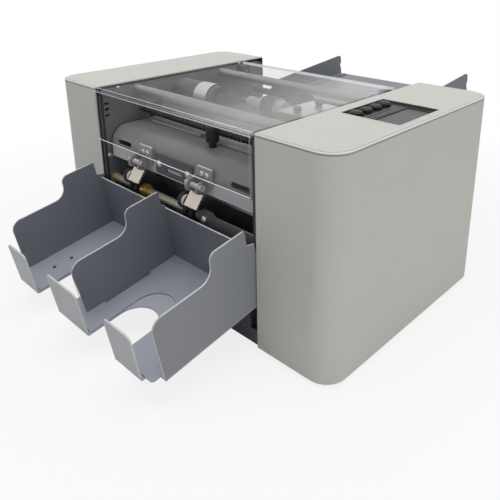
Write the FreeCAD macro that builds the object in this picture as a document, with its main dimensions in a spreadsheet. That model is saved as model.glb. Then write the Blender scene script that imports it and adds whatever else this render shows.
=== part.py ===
"""Desk machine that slits and cross-cuts printed sheets into business cards.

Millimetres, X to the right, Y to the back, Z up. The origin is on the ground under the middle of
the overall length. A sheet enters at the back, is slit lengthwise by the disc blades, cut across by the
guillotine near the front, and the cards drop into the two lanes of the sloping front tray.
"""
import FreeCAD, Part
import math
import os
import re
import Sketcher
from FreeCAD import Placement, Rotation, Vector

SIZES = {
    # body
    "cover_gap": (230, "clear width between the two outer covers"),
    "cover_width": (77.5, "width of one outer cover"),
    "cover_height": (192, "height of the outer covers"),
    "body_depth": (243, "depth of the outer covers"),
    "middle_shift": (19.444,"middle of the body before the middle of the overall length"),
    "ground_gap": (3, "ground to the lower edge of the covers"),
    "cover_wall": (2, "wall of the outer covers"),
    "cover_corner": (20, "radius of the covers' upright corners"),
    "cover_edge": (1.6, "radius along the covers' top edge"),
    "fit": (0.3, "clearance between pieces that only lie beside each other"),
    "running": (0.05, "radial clearance of a running fit"),
    # base pan and feet
    "pan_wall": (2, "sheet of the base pan"),
    "pan_rim": (14, "height of the base pan's rim"),
    "panel_half": (104, "half width of the base pan's front and rear upstands"),
    "panel_return": (26, "length of the front upstand's folded ends"),
    "panel_ledge": (12, "how far the front upstand's ledge reaches under the tray"),
    "foot_radius": (11, "rubber foot"),
    "foot_inset": (26, "foot centre from the end of the pan"),
    # side frames
    "frame_gap": (220, "clear width between the side frames"),
    "frame_plate": (4, "thickness of the side frames"),
    "frame_front": (2, "front edge of the side frames behind the covers' front"),
    "frame_notch": (11, "front edge of the side frames beside the tray"),
    "notch_drop": (8.5, "top of the side frames' notch under the exit shaft"),
    "frame_rear": (5, "rear edge of the side frames before the covers' back"),
    "frame_drop": (3.5, "top of the side frames under the covers' top"),
    "frame_corner": (9, "radius of the side frames' upper corners"),
    "frame_foot": (12, "width of the side frames' bottom flange"),
    # tie rods and clear lid
    "tie_radius": (4.75, "tie rods"),
    "tie_front": (46, "front tie rod behind the covers' front"),
    "tie_back": (166, "rear tie rod behind the covers' front"),
    "lid_sheet": (3, "clear sheet of the lid"),
    "lid_half": (112, "half width of the lid"),
    "lid_reach": (203, "rear edge of the lid behind the covers' front"),
    "lid_clear": (10.5, "lower edge of the lid's front panel over the arm pivot"),
    "lid_bend": (5, "outer radius of the lid's bend"),
    "hinge_back": (198, "lid hinge axis behind the covers' front"),
    "hinge_down": (9, "lid hinge axis under the covers' top"),
    "hinge_pin": (2, "radius of the lid's hinge pins"),
    "hinge_block": (11, "width of a hinge block"),
    # front tray, in its own tilted frame
    "tray_tilt": (10, "slope of the front tray, in degrees"),
    "tray_back": (6, "tray's rear floor corner behind the covers' front"),
    "tray_drop": (50.5, "tray's rear floor corner under the exit shaft"),
    "tray_half": (114, "half width of the tray"),
    "tray_sheet": (1.5, "sheet of the tray"),
    "tray_length": (101, "length of the tray's walls"),
    "tray_floor": (108.5, "length of the tray's floor"),
    "tray_low": (53, "height of the walls' front part"),
    "tray_high": (74.5, "height of the walls' rear part"),
    "tray_step": (42, "where the walls step down"),
    "tray_plate_top": (55, "height of the tray's back plate"),
    "notch_half": (21, "half width of a finger notch"),
    "notch_centre": (45.4, "finger notch from the middle of the stop plate"),
    "stop_shift": (3.3, "middle of the stop plate left of the tray's middle"),
    "notch_end": (41, "closed end of the floor's finger notch"),
    "stop_notch_end": (60, "closed end of the stop plate's finger notch"),
    "stop_reach": (112, "reach of the stop plate"),
    "stop_rear": (24, "rear edge of the stop plate"),
    "lip_rise": (40, "height of a lip"),
    "lip_outer": (101, "outer edge of the outer lips from the middle of the stop plate"),
    "lip_corner": (4, "radius of a lip's upper corners"),
    # exit shaft and pinch rollers
    "exit_back": (12, "exit shaft behind the covers' front"),
    "exit_height": (95.5, "exit shaft over the ground"),
    "exit_radius": (4, "exit shaft"),
    "wheel_radius": (9, "rubber exit wheels"),
    "pinch_offset": (44, "pinch bracket from the middle"),
    "pinch_back": (4, "pinch roller axle behind the covers' front"),
    "pinch_rise": (14.9, "pinch roller axle over the exit shaft"),
    "pinch_radius": (7.5, "pinch roller"),
    "pivot_rise": (35.5, "arm pivot over the exit shaft"),
    "axle_radius": (1.5, "roller axles and arm pivots"),
    "bracket_half": (11, "half width of a pinch bracket"),
    "bracket_sheet": (2, "sheet of the brackets"),
    "arm_sheet": (1.5, "sheet of the arms"),
    "arm_width": (17, "width of an arm"),
    # knife cover
    "hood_front": (9, "front face of the knife cover behind the covers' front"),
    "hood_back": (74, "rear edge of the knife cover"),
    "hood_rise": (26.5, "lower edge of the knife cover over the exit shaft"),
    "hood_height": (31, "height of the knife cover"),
    "hood_bend": (18, "radius of the knife cover's front"),
    "hood_sheet": (2, "sheet of the knife cover"),
    "hood_half": (108, "half width of the knife cover"),
    "lid_plate": (2.5, "plates on the knife cover"),
    # guillotine
    "beam_back": (30, "front face of the knife beam"),
    "beam_depth": (12, "knife beam"),
    "path_rise": (10, "paper path at the knife over the exit shaft"),
    "beam_rise": (13.5, "underside of the raised knife beam over the paper path"),
    "beam_height": (26, "height of the knife beam"),
    "blade_sheet": (3, "thickness of the long blades"),
    "blade_half": (105, "half length of the long blades"),
    "knife_travel": (9, "stroke of the guillotine"),
    "blade_shear": (2, "slope of the upper blade's edge over its length"),
    "bed_depth": (24.5, "underside of the knife bed under the paper path"),
    "crank_drop": (37.5, "crankshaft under the paper path"),
    "crank_radius": (6, "crankshaft"),
    "cam_radius": (13, "eccentric disc"),
    "yoke_play": (1.2, "height clearance of an eccentric in its yoke"),
    "yoke_plate": (4, "thickness of the yokes"),
    "yoke_gap": (2, "side frame to yoke"),
    # slitter
    "slitter_back": (92, "slitter shafts behind the covers' front"),
    "slitter_radius": (6, "slitter shafts"),
    "disc_radius": (18.5, "disc blades"),
    "disc_overlap": (1, "overlap of an upper and a lower disc"),
    "disc_sheet": (2, "thickness of a disc blade"),
    "hub_radius": (11, "hub of a disc blade"),
    "hub_length": (9, "length of a hub"),
    "slit_outer": (96, "outer cuts from the middle"),
    "slit_inner": (6, "inner cuts from the middle"),
    "gear_teeth": (24, "teeth of the slitter gears"),
    "gear_width": (6, "width of the slitter gears"),
    # sheet feed
    "feed_inset": (68, "feed shaft before the covers' back"),
    "feed_height": (155, "feed shaft over the ground"),
    "feed_radius": (12.5, "feed roller"),
    "pickup_inset": (21, "pick-up roller before the covers' back"),
    "pickup_height": (156.5, "pick-up roller over the ground"),
    "pickup_radius": (12.8, "pick-up roller"),
    "table_height": (142, "rear part of the paper table"),
    "table_sheet": (1.5, "sheet of the paper table"),
    "rear_inset": (37.5, "front edge of the rear tray before the covers' back"),
    "rear_tilt": (3.6, "slope of the rear tray, in degrees"),
    "rear_length": (187.5, "length of the rear tray"),
    "rear_half": (105, "half width of the rear tray"),
    "guide_at": (98, "inner face of a paper guide from the middle"),
    "guide_travel": (50, "travel of a paper guide"),
    "guide_front": (46, "front end of a paper guide on the rear tray"),
    "guide_high": (27, "rear height of a paper guide"),
    "guide_low": (20, "front height of a paper guide"),
    # feed bracket and drive motor
    "bracket_left": (15, "left edge of the feed bracket"),
    "bracket_ahead": (44, "front edge of the feed bracket before the feed shaft"),
    "bracket_past": (13, "rear edge of the feed bracket behind the feed shaft"),
    "bracket_height": (168, "top of the feed bracket"),
    "thumb_radius": (5.5, "thumb screw heads"),
    "motor_back": (105, "motor axis behind the covers' front"),
    "motor_height": (175, "motor axis over the ground"),
    "motor_radius": (15, "motor can"),
    # conduit and knob on the knife cover
    "conduit_back": (52, "ribbed conduit behind the covers' front"),
    "conduit_rise": (13, "ribbed conduit over the knife cover"),
    "conduit_radius": (4.5, "ribbed conduit"),
    "knob_at": (21, "adjusting knob from the middle"),
    "knob_back": (38, "adjusting knob behind the covers' front"),
    "knob_radius": (6, "adjusting knob"),
    "knob_clear": (9.2, "knob's top under the front tie rod"),
    # control panel
    "panel_at": (155.5, "middle of the control panel"),
    "panel_back": (123.3, "middle of the control panel behind the covers' front"),
    "panel_wide": (57, "panel window along X"),
    "panel_long": (64.5, "panel window along Y"),
    "panel_plate": (3, "control panel"),
    "button_at": (138, "row of buttons"),
    "button_first": (98.5, "first button behind the covers' front"),
    "button_pitch": (14.3, "button spacing"),
    "button_radius": (5.5, "button caps"),
    "button_travel": (1.5, "button travel"),
    "board_sheet": (1.6, "circuit board"),
    # power inlet
    "inlet_at": (154, "power inlet from the middle"),
    "inlet_height": (52, "middle of the power inlet over the ground"),
}

# Heights over the ground and distances behind the covers' front that follow from other sizes.
FOLLOWS = {
    "path_height": "(exit_height + path_rise)",
    "beam_low": "(path_height + beam_rise)",
    "beam_high": "(beam_low + beam_height)",
    "bed_low": "(path_height - bed_depth)",
    "crank_height": "(path_height - crank_drop)",
    "tray_height": "(exit_height - tray_drop)",
    "pivot_height": "(exit_height + pivot_rise)",
    "hood_low": "(exit_height + hood_rise)",
    "hood_top": "(hood_low + hood_height)",
    "conduit_height": "(hood_top + conduit_rise)",
    "lid_drop": "(ground_gap + cover_height - pivot_height - lid_clear)",
    "knob_top": "(ground_gap + cover_height - lid_sheet - fit - 2 * tie_radius - knob_clear)",
    "feed_back": "(body_depth - feed_inset)",
    "pickup_back": "(body_depth - pickup_inset)",
    "rear_back": "(body_depth - rear_inset)",
    "bracket_front": "(feed_back - bracket_ahead)",
    "bracket_rear": "(feed_back + bracket_past)",
}

FRONT = "(-body_depth / 2 - middle_shift)"
BACK = "(body_depth / 2 - middle_shift)"
TOP = "(ground_gap + cover_height)"
FRAME_IN = "(frame_gap / 2)"
FRAME_OUT = "(frame_gap / 2 + frame_plate)"
FRAME_TOP = f"({TOP} - frame_drop)"
PAN_TOP = "(ground_gap + pan_wall)"
PAN_FRONT = f"({FRONT} + cover_wall + fit)"
PAN_BACK = f"({BACK} - cover_wall - fit)"
LID_UNDER = f"({TOP} - lid_sheet)"
NOTCH_TOP = "(exit_height - notch_drop)"
PINCH = "(exit_height + pinch_rise)"

doc = FreeCAD.newDocument("card_cutter")
sheet = doc.addObject("Spreadsheet::Sheet", "sizes")
for row, (alias, (number, note)) in enumerate(SIZES.items(), start=1):
    sheet.set(f"A{row}", note)
    sheet.set(f"B{row}", str(number))
    sheet.setAlias(f"B{row}", alias)
doc.recompute()

nodes = []


# ---------------------------------------------------------------- helpers

def link(text):
    """Turn a formula of plain size names into one that reads the sheet."""
    def read(word):
        if word[0] in FOLLOWS:
            return link(FOLLOWS[word[0]])
        return f"sizes.{word[0]}" if word[0] in SIZES else word[0]

    return re.sub(r"[A-Za-z_]\w*", read, str(text))


def value(text):
    return float(sheet.evalExpression(link(text)))


def behind(distance):
    """Y of something that lies a distance behind the covers' front."""
    return f"({FRONT} + {distance})"


def mirrored(sign, inner, outer):
    """A span on the left (-1) or right (1) side, from inner and outer distances."""
    return (f"-({outer})", f"-({inner})") if sign < 0 else (inner, outer)


def place(thing, x="0", y="0", z="0"):
    for axis, text in (("x", x), ("y", y), ("z", z)):
        thing.setExpression(f"Placement.Base.{axis}", link(text))
    return thing


def tilt(thing, angle, x="0", y="0", z="0"):
    """Turn a piece about X by a named angle and put its own origin in place."""
    thing.Placement = Placement(Vector(), Rotation(Vector(1, 0, 0), value(angle)))
    thing.setExpression("Placement.Rotation.Angle", link(angle))
    return place(thing, x, y, z)


def node(thing, name):
    """Name a finished sub-part and put it on the list of files to write."""
    thing.Label = name
    nodes.append(thing)
    return thing


def box(name, x, y, z):
    """A block between three pairs of coordinates."""
    block = doc.addObject("Part::Box", name)
    for side, (low, high) in (("Length", x), ("Width", y), ("Height", z)):
        block.setExpression(side, link(f"({high}) - ({low})"))
    return place(block, x[0], y[0], z[0])


TURNS = {"x": Rotation(Vector(0, 1, 0), 90), "y": Rotation(Vector(1, 0, 0), -90), "z": Rotation()}


def rod(name, axis, radius, span, at):
    """A round bar along an axis; at holds its other two coordinates."""
    bar = doc.addObject("Part::Cylinder", name)
    bar.setExpression("Radius", link(radius))
    bar.setExpression("Height", link(f"({span[1]}) - ({span[0]})"))
    bar.Placement = Placement(Vector(), TURNS[axis])
    spots = list(at)
    spots.insert("xyz".index(axis), span[0])
    return place(bar, *spots)


def fuse(name, *shapes):
    whole = doc.addObject("Part::MultiFuse", name)
    whole.Shapes = list(shapes)
    return whole


def cut(name, base, *tools):
    left = doc.addObject("Part::Cut", name)
    left.Base = base
    left.Tool = tools[0] if len(tools) == 1 else fuse(name + "_tools", *tools)
    return left


def group(name, *pieces):
    """Separate solids that share one file."""
    bundle = doc.addObject("Part::Compound", name)
    bundle.Links = list(pieces)
    return bundle


def tube(name, axis, outer, inner, span, at):
    return cut(name, rod(name + "_outside", axis, outer, span, at),
               rod(name + "_bore", axis, inner, span, at))


def circle(x, y, radius):
    return ("circle", x, y, radius)


def rect(x, y, radius=None):
    """A rectangle between two pairs, with its corners rounded when a radius is given."""
    corners = [(x[0], y[0]), (x[1], y[0]), (x[1], y[1]), (x[0], y[1])]
    return [corner + (radius,) for corner in corners] if radius else corners


def pin(sketch, kind, index, position, text):
    """Hold one measure of a sketch element at a formula."""
    measure = value(text)
    constraint = (Sketcher.Constraint(kind, index, measure) if position is None
                  else Sketcher.Constraint(kind, index, position, measure))
    sketch.setExpression(f"Constraints[{sketch.addConstraint(constraint)}]", link(text))


def draw(sketch, loop):
    """Draw a circle, or a closed outline whose corners may carry a rounding radius."""
    if loop[0] == "circle":
        _, x, y, radius = loop
        ring = Part.Circle(Vector(value(x), value(y), 0), Vector(0, 0, 1), value(radius))
        index = sketch.addGeometry(ring, False)
        pin(sketch, "DistanceX", index, 3, x)
        pin(sketch, "DistanceY", index, 3, y)
        pin(sketch, "Radius", index, None, radius)
        return
    first = sketch.GeometryCount
    count = len(loop)
    spots = [Vector(value(corner[0]), value(corner[1]), 0) for corner in loop]
    for i in range(count):
        sketch.addGeometry(Part.LineSegment(spots[i], spots[(i + 1) % count]), False)
    for i in range(count):
        sketch.addConstraint(Sketcher.Constraint("Coincident", first + i, 2,
                                                 first + (i + 1) % count, 1))
    for i, corner in enumerate(loop):
        pin(sketch, "DistanceX", first + i, 1, corner[0])
        pin(sketch, "DistanceY", first + i, 1, corner[1])
    for i, corner in enumerate(loop):
        if len(corner) == 3:
            before = sketch.GeometryCount
            sketch.fillet(first + i, 1, value(corner[2]), True, True)
            arc = next(k for k in range(before, sketch.GeometryCount)
                       if sketch.Geometry[k].TypeId == "Part::GeomArcOfCircle")
            pin(sketch, "Radius", arc, None, corner[2])


PLANES = {"XY": ("XY_Plane", 1), "XZ": ("XZ_Plane", -1), "YZ": ("YZ_Plane", 1)}


def sketch_on(body, plane, loops, level):
    sketch = body.newObject("Sketcher::SketchObject", body.Name + "_outline")
    role, sense = PLANES[plane]
    support = next(item for item in body.Origin.OriginFeatures if item.Role == role)
    sketch.AttachmentSupport = [(support, "")]
    sketch.MapMode = "FlatFace"
    sketch.setExpression("AttachmentOffset.Base.z", link(f"{sense} * ({level})"))
    for loop in loops:
        draw(sketch, loop)
    return sketch


def new_body(name):
    return doc.addObject("PartDesign::Body", name)


def pad(body, plane, loops, low, high):
    """Material between two levels across a plane of the body."""
    feature = body.newObject("PartDesign::Pad", body.Name + "_pad")
    sketch = sketch_on(body, plane, loops, high if plane == "XZ" else low)
    feature.Profile = sketch
    feature.setExpression("Length", link(f"({high}) - ({low})"))
    sketch.Visibility = False
    body.Tip = feature
    return feature


def pocket(body, plane, loops, low, high):
    """A recess or opening between two levels across a plane of the body."""
    doc.recompute()
    before = body.Shape.Volume
    sketch = sketch_on(body, plane, loops, low if plane == "XZ" else high)
    feature = body.newObject("PartDesign::Pocket", body.Name + "_pocket")
    feature.Profile = sketch
    feature.setExpression("Length", link(f"({high}) - ({low})"))
    body.Tip = feature
    doc.recompute()
    if body.Shape.Volume >= before:
        raise RuntimeError(f"{body.Name}: a pocket cuts nothing")
    return feature


def round_edges(body, radius, chosen):
    """Round the edges of the body that a test picks."""
    doc.recompute()
    base = body.Tip
    names = [f"Edge{i}" for i, edge in enumerate(base.Shape.Edges, start=1) if chosen(edge)]
    feature = body.newObject("PartDesign::Fillet", body.Name + "_round")
    feature.Base = (base, names)
    feature.setExpression("Radius", link(radius))
    body.Tip = feature
    return feature


LATHE = {"x": Rotation(), "y": Rotation(Vector(0, 0, 1), 90), "z": Rotation(Vector(0, 1, 0), -90)}


def turned(name, axis, at, corners):
    """A turned piece from corners of (place along the axis, radius)."""
    body = new_body(name)
    sketch = sketch_on(body, "XY", [corners], "0")
    feature = body.newObject("PartDesign::Revolution", name + "_turning")
    feature.Profile = sketch
    feature.ReferenceAxis = (sketch, ["H_Axis"])
    feature.Angle = 360
    body.Tip = feature
    body.Placement = Placement(Vector(), LATHE[axis])
    spots = list(at)
    spots.insert("xyz".index(axis), "0")
    return place(body, *spots)


# ---------------------------------------------------------------- housing

def make_base_pan():
    """Folded pan with a rim, the front panel under the tray and the rear upstand."""
    body = new_body("base_pan_body")
    half = "(cover_gap / 2 + cover_width - cover_wall)"
    corner = "cover_corner"
    pad(body, "XY", [rect((f"-{half}", half), (PAN_FRONT, PAN_BACK), corner)],
        "ground_gap", "ground_gap + pan_rim")
    inner = f"({half} - pan_wall)"
    inside = rect((f"-{inner}", inner), (f"{PAN_FRONT} + pan_wall", f"{PAN_BACK} - pan_wall"),
                  f"{corner} - pan_wall")
    pocket(body, "XY", [inside], PAN_TOP, "ground_gap + pan_rim")

    def under_tray(y):
        run = f"({behind('tray_back')} - {y})"
        return f"(tray_height - tray_sheet / cos(tray_tilt) - {run} * tan(tray_tilt))"

    ledge_front, ledge_back = behind("-panel_ledge"), f"({PAN_FRONT} + pan_wall)"
    ledge_top = under_tray(ledge_front)
    profile = [(PAN_FRONT, PAN_TOP), (ledge_back, PAN_TOP), (ledge_back, under_tray(ledge_back)),
               (ledge_front, ledge_top), (ledge_front, f"{ledge_top} - pan_wall"),
               (PAN_FRONT, f"{under_tray(PAN_FRONT)} - pan_wall")]
    pad(body, "YZ", [profile], "-panel_half", "panel_half")
    for sign in (-1, 1):
        side = mirrored(sign, "panel_half - pan_wall", "panel_half")
        outline = [(PAN_FRONT, PAN_TOP), (f"{PAN_FRONT} + panel_return", PAN_TOP),
                   (f"{PAN_FRONT} + panel_return", f"{under_tray(PAN_FRONT)} - 8"),
                   (PAN_FRONT, f"{under_tray(PAN_FRONT)} - 1")]
        pad(body, "YZ", [outline], *side)
    rear_top = "(table_height - table_sheet + (body_depth - rear_back - 5) * tan(rear_tilt) - fit)"
    pad(body, "XZ", [rect(("-panel_half", "panel_half"), (PAN_TOP, rear_top))],
        f"{PAN_BACK} - pan_wall", PAN_BACK)
    vents = [rect((f"{x} - 22", f"{x} + 22"), (f"{z} - 2.5", f"{z} + 2.5"), "2.4")
             for x in (-56, 0, 56) for z in (60, 72, 84)]
    pocket(body, "XZ", vents, f"{PAN_BACK} - pan_wall - 1", f"{PAN_BACK} + 1")
    spots = [(f"{sign} * ({half} - foot_inset)", y) for sign in (-1, 1)
             for y in (f"({PAN_FRONT} + foot_inset)", f"({PAN_BACK} - foot_inset)")]
    pocket(body, "XY", [circle(x, y, "2") for x, y in spots], "ground_gap - 1", PAN_TOP)
    node(body, "base_pan")

    profile = [("0", "0"), ("0", "foot_radius"), ("ground_gap - 1", "foot_radius - 0.6"),
               ("ground_gap", "foot_radius - 2"), ("ground_gap", "2"), (PAN_TOP, "2"), (PAN_TOP, "0")]
    node(group("feet", *[turned(f"foot_{i}", "z", spot, profile) for i, spot in enumerate(spots)]),
         "rubber_feet")


def make_side_frame(side, sign):
    """Steel plate that carries the shafts, with a bottom flange and a slot for the knife beam."""
    body = new_body(f"side_frame_{side}_body")
    front, notch = behind("frame_front"), behind("frame_notch")
    rear = f"({BACK} - frame_rear)"
    outline = [(notch, PAN_TOP), (notch, f"{NOTCH_TOP} - 5"), (front, NOTCH_TOP),
               (front, FRAME_TOP, "frame_corner"), (rear, FRAME_TOP, "frame_corner"), (rear, PAN_TOP)]
    bores = [circle(behind("exit_back"), "exit_height", "exit_radius + 2"),
             circle(behind("slitter_back"), SLITTER_UP, "slitter_radius + 2"),
             circle(behind("slitter_back"), SLITTER_DOWN, "slitter_radius + 2"),
             circle(behind("feed_back"), "feed_height", "exit_radius + 2"),
             circle(behind("pickup_back"), "pickup_height", "exit_radius + 2"),
             circle(behind("beam_back + beam_depth / 2"), "crank_height", "crank_radius + 2"),
             circle(behind("hinge_back"), f"{TOP} - hinge_down", "hinge_pin")]
    slot = rect((behind("beam_back - 0.2"), behind("beam_back + beam_depth + 0.2")),
                ("beam_low - knife_travel - 1", "beam_high + 1"))
    slots = [rect((behind("frame_front + 4"), behind("frame_front + 9")), (f"{z} - 1.4", f"{z} + 1.4"))
             for z in (164.5, 171, 177)]
    window = rect((behind("60"), behind("78")), ("hood_top - 1", "hood_top + 15"), "3")
    span = mirrored(sign, FRAME_IN, FRAME_OUT)
    pad(body, "YZ", [outline, slot, window] + bores + slots, *span)
    foot = mirrored(sign, FRAME_IN, f"{FRAME_OUT} + frame_foot")
    pad(body, "XY", [rect(foot, (f"{notch} + 6", f"{rear} - 8"))], PAN_TOP, f"{PAN_TOP} + frame_plate / 2")
    return node(body, f"side_frame_{side}")


def make_cover(side, sign):
    """Painted outer cover, open towards its side frame and at the bottom."""
    body = new_body(f"cover_{side}_body")
    inner, outer = "cover_gap / 2", "cover_gap / 2 + cover_width"

    def outline(shrink, open_side):
        low, high = mirrored(sign, f"{inner} - {open_side}", f"{outer} - {shrink}")
        corners = [(low, f"{FRONT} + {shrink}"), (high, f"{FRONT} + {shrink}"),
                   (high, f"{BACK} - {shrink}"), (low, f"{BACK} - {shrink}")]
        rounded = (1, 2) if sign > 0 else (0, 3)
        return [corner + (f"cover_corner - {shrink}",) if i in rounded else corner
                for i, corner in enumerate(corners)]

    pad(body, "XY", [outline("0", "0")], "ground_gap", TOP)
    doc.recompute()
    top = value(TOP)
    inner_x = value(f"{sign} * ({inner})")
    round_edges(body, "cover_edge", lambda edge: (
        all(abs(v.Z - top) < 0.01 for v in edge.Vertexes)
        and not all(abs(v.X - inner_x) < 0.01 for v in edge.Vertexes)))
    pocket(body, "XY", [outline("cover_wall", "1")], "ground_gap - 1", f"{TOP} - cover_wall")
    if side == "right":
        window = rect(("panel_at - panel_wide / 2", "panel_at + panel_wide / 2"),
                      (behind("panel_back - panel_long / 2"), behind("panel_back + panel_long / 2")), "1")
        pocket(body, "XY", [window], f"{TOP} - cover_wall - 1", f"{TOP} + 1")
        opening = rect(("inlet_at - 14 - fit", "inlet_at + 14 + fit"),
                       ("inlet_height - 24 - fit", "inlet_height + 24 + fit"))
        pocket(body, "XZ", [opening], f"{BACK} - cover_wall - 1", f"{BACK} + 1")
    return node(body, f"cover_{side}")


def make_tie_rods():
    rods = [rod(f"tie_rod_{where}", "x", "tie_radius", (f"-{FRAME_IN}", FRAME_IN),
                (behind(distance), f"{LID_UNDER} - fit - tie_radius"))
            for where, distance in (("front", "tie_front"), ("back", "tie_back"))]
    node(group("tie_rod_pair", *rods), "tie_rods")


def make_lid():
    """Clear lid bent down at the front, on two blocks that turn on pins in the side frames."""
    body = new_body("lid_body")
    outline = [(behind("-lid_sheet"), f"{TOP} - lid_drop"), (behind("0"), f"{TOP} - lid_drop"),
               (behind("0"), LID_UNDER, "lid_bend - lid_sheet"), (behind("lid_reach"), LID_UNDER),
               (behind("lid_reach"), TOP), (behind("-lid_sheet"), TOP, "lid_bend")]
    pad(body, "YZ", [outline], "-lid_half", "lid_half")
    corners = [rect(mirrored(sign, f"{FRAME_IN} - fit", "lid_half + 1"),
                    (behind("hinge_back - 10"), behind("lid_reach + 1"))) for sign in (-1, 1)]
    pocket(body, "XY", corners, f"{LID_UNDER} - 1", f"{TOP} + 1")
    node(body, "acrylic_lid")
    axis = (behind("hinge_back"), f"{TOP} - hinge_down")
    blocks, pins = [], []
    for side, sign in (("left", -1), ("right", 1)):
        span = mirrored(sign, f"{FRAME_IN} - fit - hinge_block", f"{FRAME_IN} - fit")
        body = new_body(f"hinge_block_{side}")
        block_low = f"({TOP} - hinge_down - 4.5)"
        outline = [(behind("hinge_back - 8"), LID_UNDER), (behind("hinge_back - 5"), block_low, "3"),
                   (behind("hinge_back + 5"), block_low, "3"), (behind("lid_reach"), LID_UNDER)]
        pad(body, "YZ", [outline, circle(*axis, "hinge_pin + running")], *span)
        blocks.append(body)
        pins.append(rod(f"hinge_pin_{side}", "x", "hinge_pin",
                        mirrored(sign, f"{FRAME_IN} - hinge_block", f"{FRAME_OUT} + 1"), axis))
    node(group("hinge_blocks", *blocks), "lid_hinge_blocks")
    node(group("hinge_pins", *pins), "lid_hinge_pins")


# ---------------------------------------------------------------- front tray

def on_tray(thing):
    """Stand a piece in the tray's frame: -Y runs forward along the floor, Z stands on it."""
    return tilt(thing, "tray_tilt", y=behind("tray_back"), z="tray_height")


def wall_outline(foot, rear_low, rear_high):
    """Side view of a tray wall, stepped down towards the front."""
    return foot + [("-tray_length", "tray_low", "10"), ("-tray_step", "tray_low", "12"),
                   ("-tray_step", "tray_high", "7"), ("-5", "tray_high", "1.5"), ("-5", rear_high, "1"),
                   (rear_low, f"{rear_high} - 2.5")]


def finger_notches(body, mouth, closed, low, high):
    """Two round ended notches that open at the front of a tray sheet."""
    for sign in (-1, 1):
        left, right = (f"{sign} * notch_centre - stop_shift {side} notch_half" for side in "-+")
        corner = "notch_half - 0.1"
        pocket(body, "XY", [[(left, f"-{mouth} - 1"), (right, f"-{mouth} - 1"),
                             (right, f"-{closed}", corner), (left, f"-{closed}", corner)]],
               f"{low} - 1", f"{high} + 1")


def make_tray():
    floor = "-tray_sheet"
    body = new_body("tray_body")
    front_half = "(lip_outer + stop_shift + 3)"
    outline = [("-tray_half", "0"), ("-tray_half", "-tray_length"), (f"-{front_half}", "-tray_length"),
               (f"-{front_half}", "-tray_floor", "3"), (front_half, "-tray_floor", "3"),
               (front_half, "-tray_length"), ("tray_half", "-tray_length"), ("tray_half", "0")]
    pad(body, "XY", [outline], floor, "0")
    pad(body, "XZ", [rect(("-tray_half", "tray_half"), (floor, "tray_plate_top"))], "-tray_sheet", "0")
    for sign in (-1, 1):
        foot = [("3", floor), ("-tray_length", floor)]
        pad(body, "YZ", [wall_outline(foot, "3", "60")],
            *mirrored(sign, "tray_half - tray_sheet", "tray_half"))
    finger_notches(body, "tray_floor", "notch_end", floor, "0")
    node(on_tray(body), "output_tray")

    body = new_body("divider_body")
    foot = [("-tray_sheet", "2.5"), ("-33", "2.5"), ("-33", "0"), ("-81", "0"), ("-81", "2.5"),
            ("-tray_length + 2", "2.5")]
    pad(body, "YZ", [wall_outline(foot, "-tray_sheet", "60")], "-tray_sheet / 2", "tray_sheet / 2")
    node(on_tray(body), "tray_divider")

    body = new_body("stop_plate_body")
    low, high = "-2 * tray_sheet", "-tray_sheet"
    pad(body, "XY", [rect(("-lip_outer - stop_shift", "lip_outer - stop_shift"),
                          ("-stop_reach + 2 * tray_sheet", "-stop_rear"))], low, high)
    finger_notches(body, "stop_reach", "stop_notch_end", low, high)
    inner, outer = "(notch_centre - notch_half)", "(notch_centre + notch_half)"
    lip = [("-stop_reach", low, "2"), ("-stop_reach + 3 * tray_sheet", low),
           ("-stop_reach + 3 * tray_sheet", high), ("-stop_reach + tray_sheet", high, "0.5"),
           ("-stop_reach + tray_sheet", "lip_rise"), ("-stop_reach", "lip_rise")]
    for left, right in (("-lip_outer", f"-{outer}"), (f"-{inner}", inner), (outer, "lip_outer")):
        pad(body, "YZ", [lip], f"{left} - stop_shift", f"{right} - stop_shift")
    top = value("lip_rise")
    round_edges(body, "lip_corner", lambda edge: (
        all(abs(v.Z - top) < 0.01 for v in edge.Vertexes)
        and abs(edge.Vertexes[0].X - edge.Vertexes[-1].X) < 0.01))
    node(on_tray(body), "tray_stop_plate")


# ---------------------------------------------------------------- card exit

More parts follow.
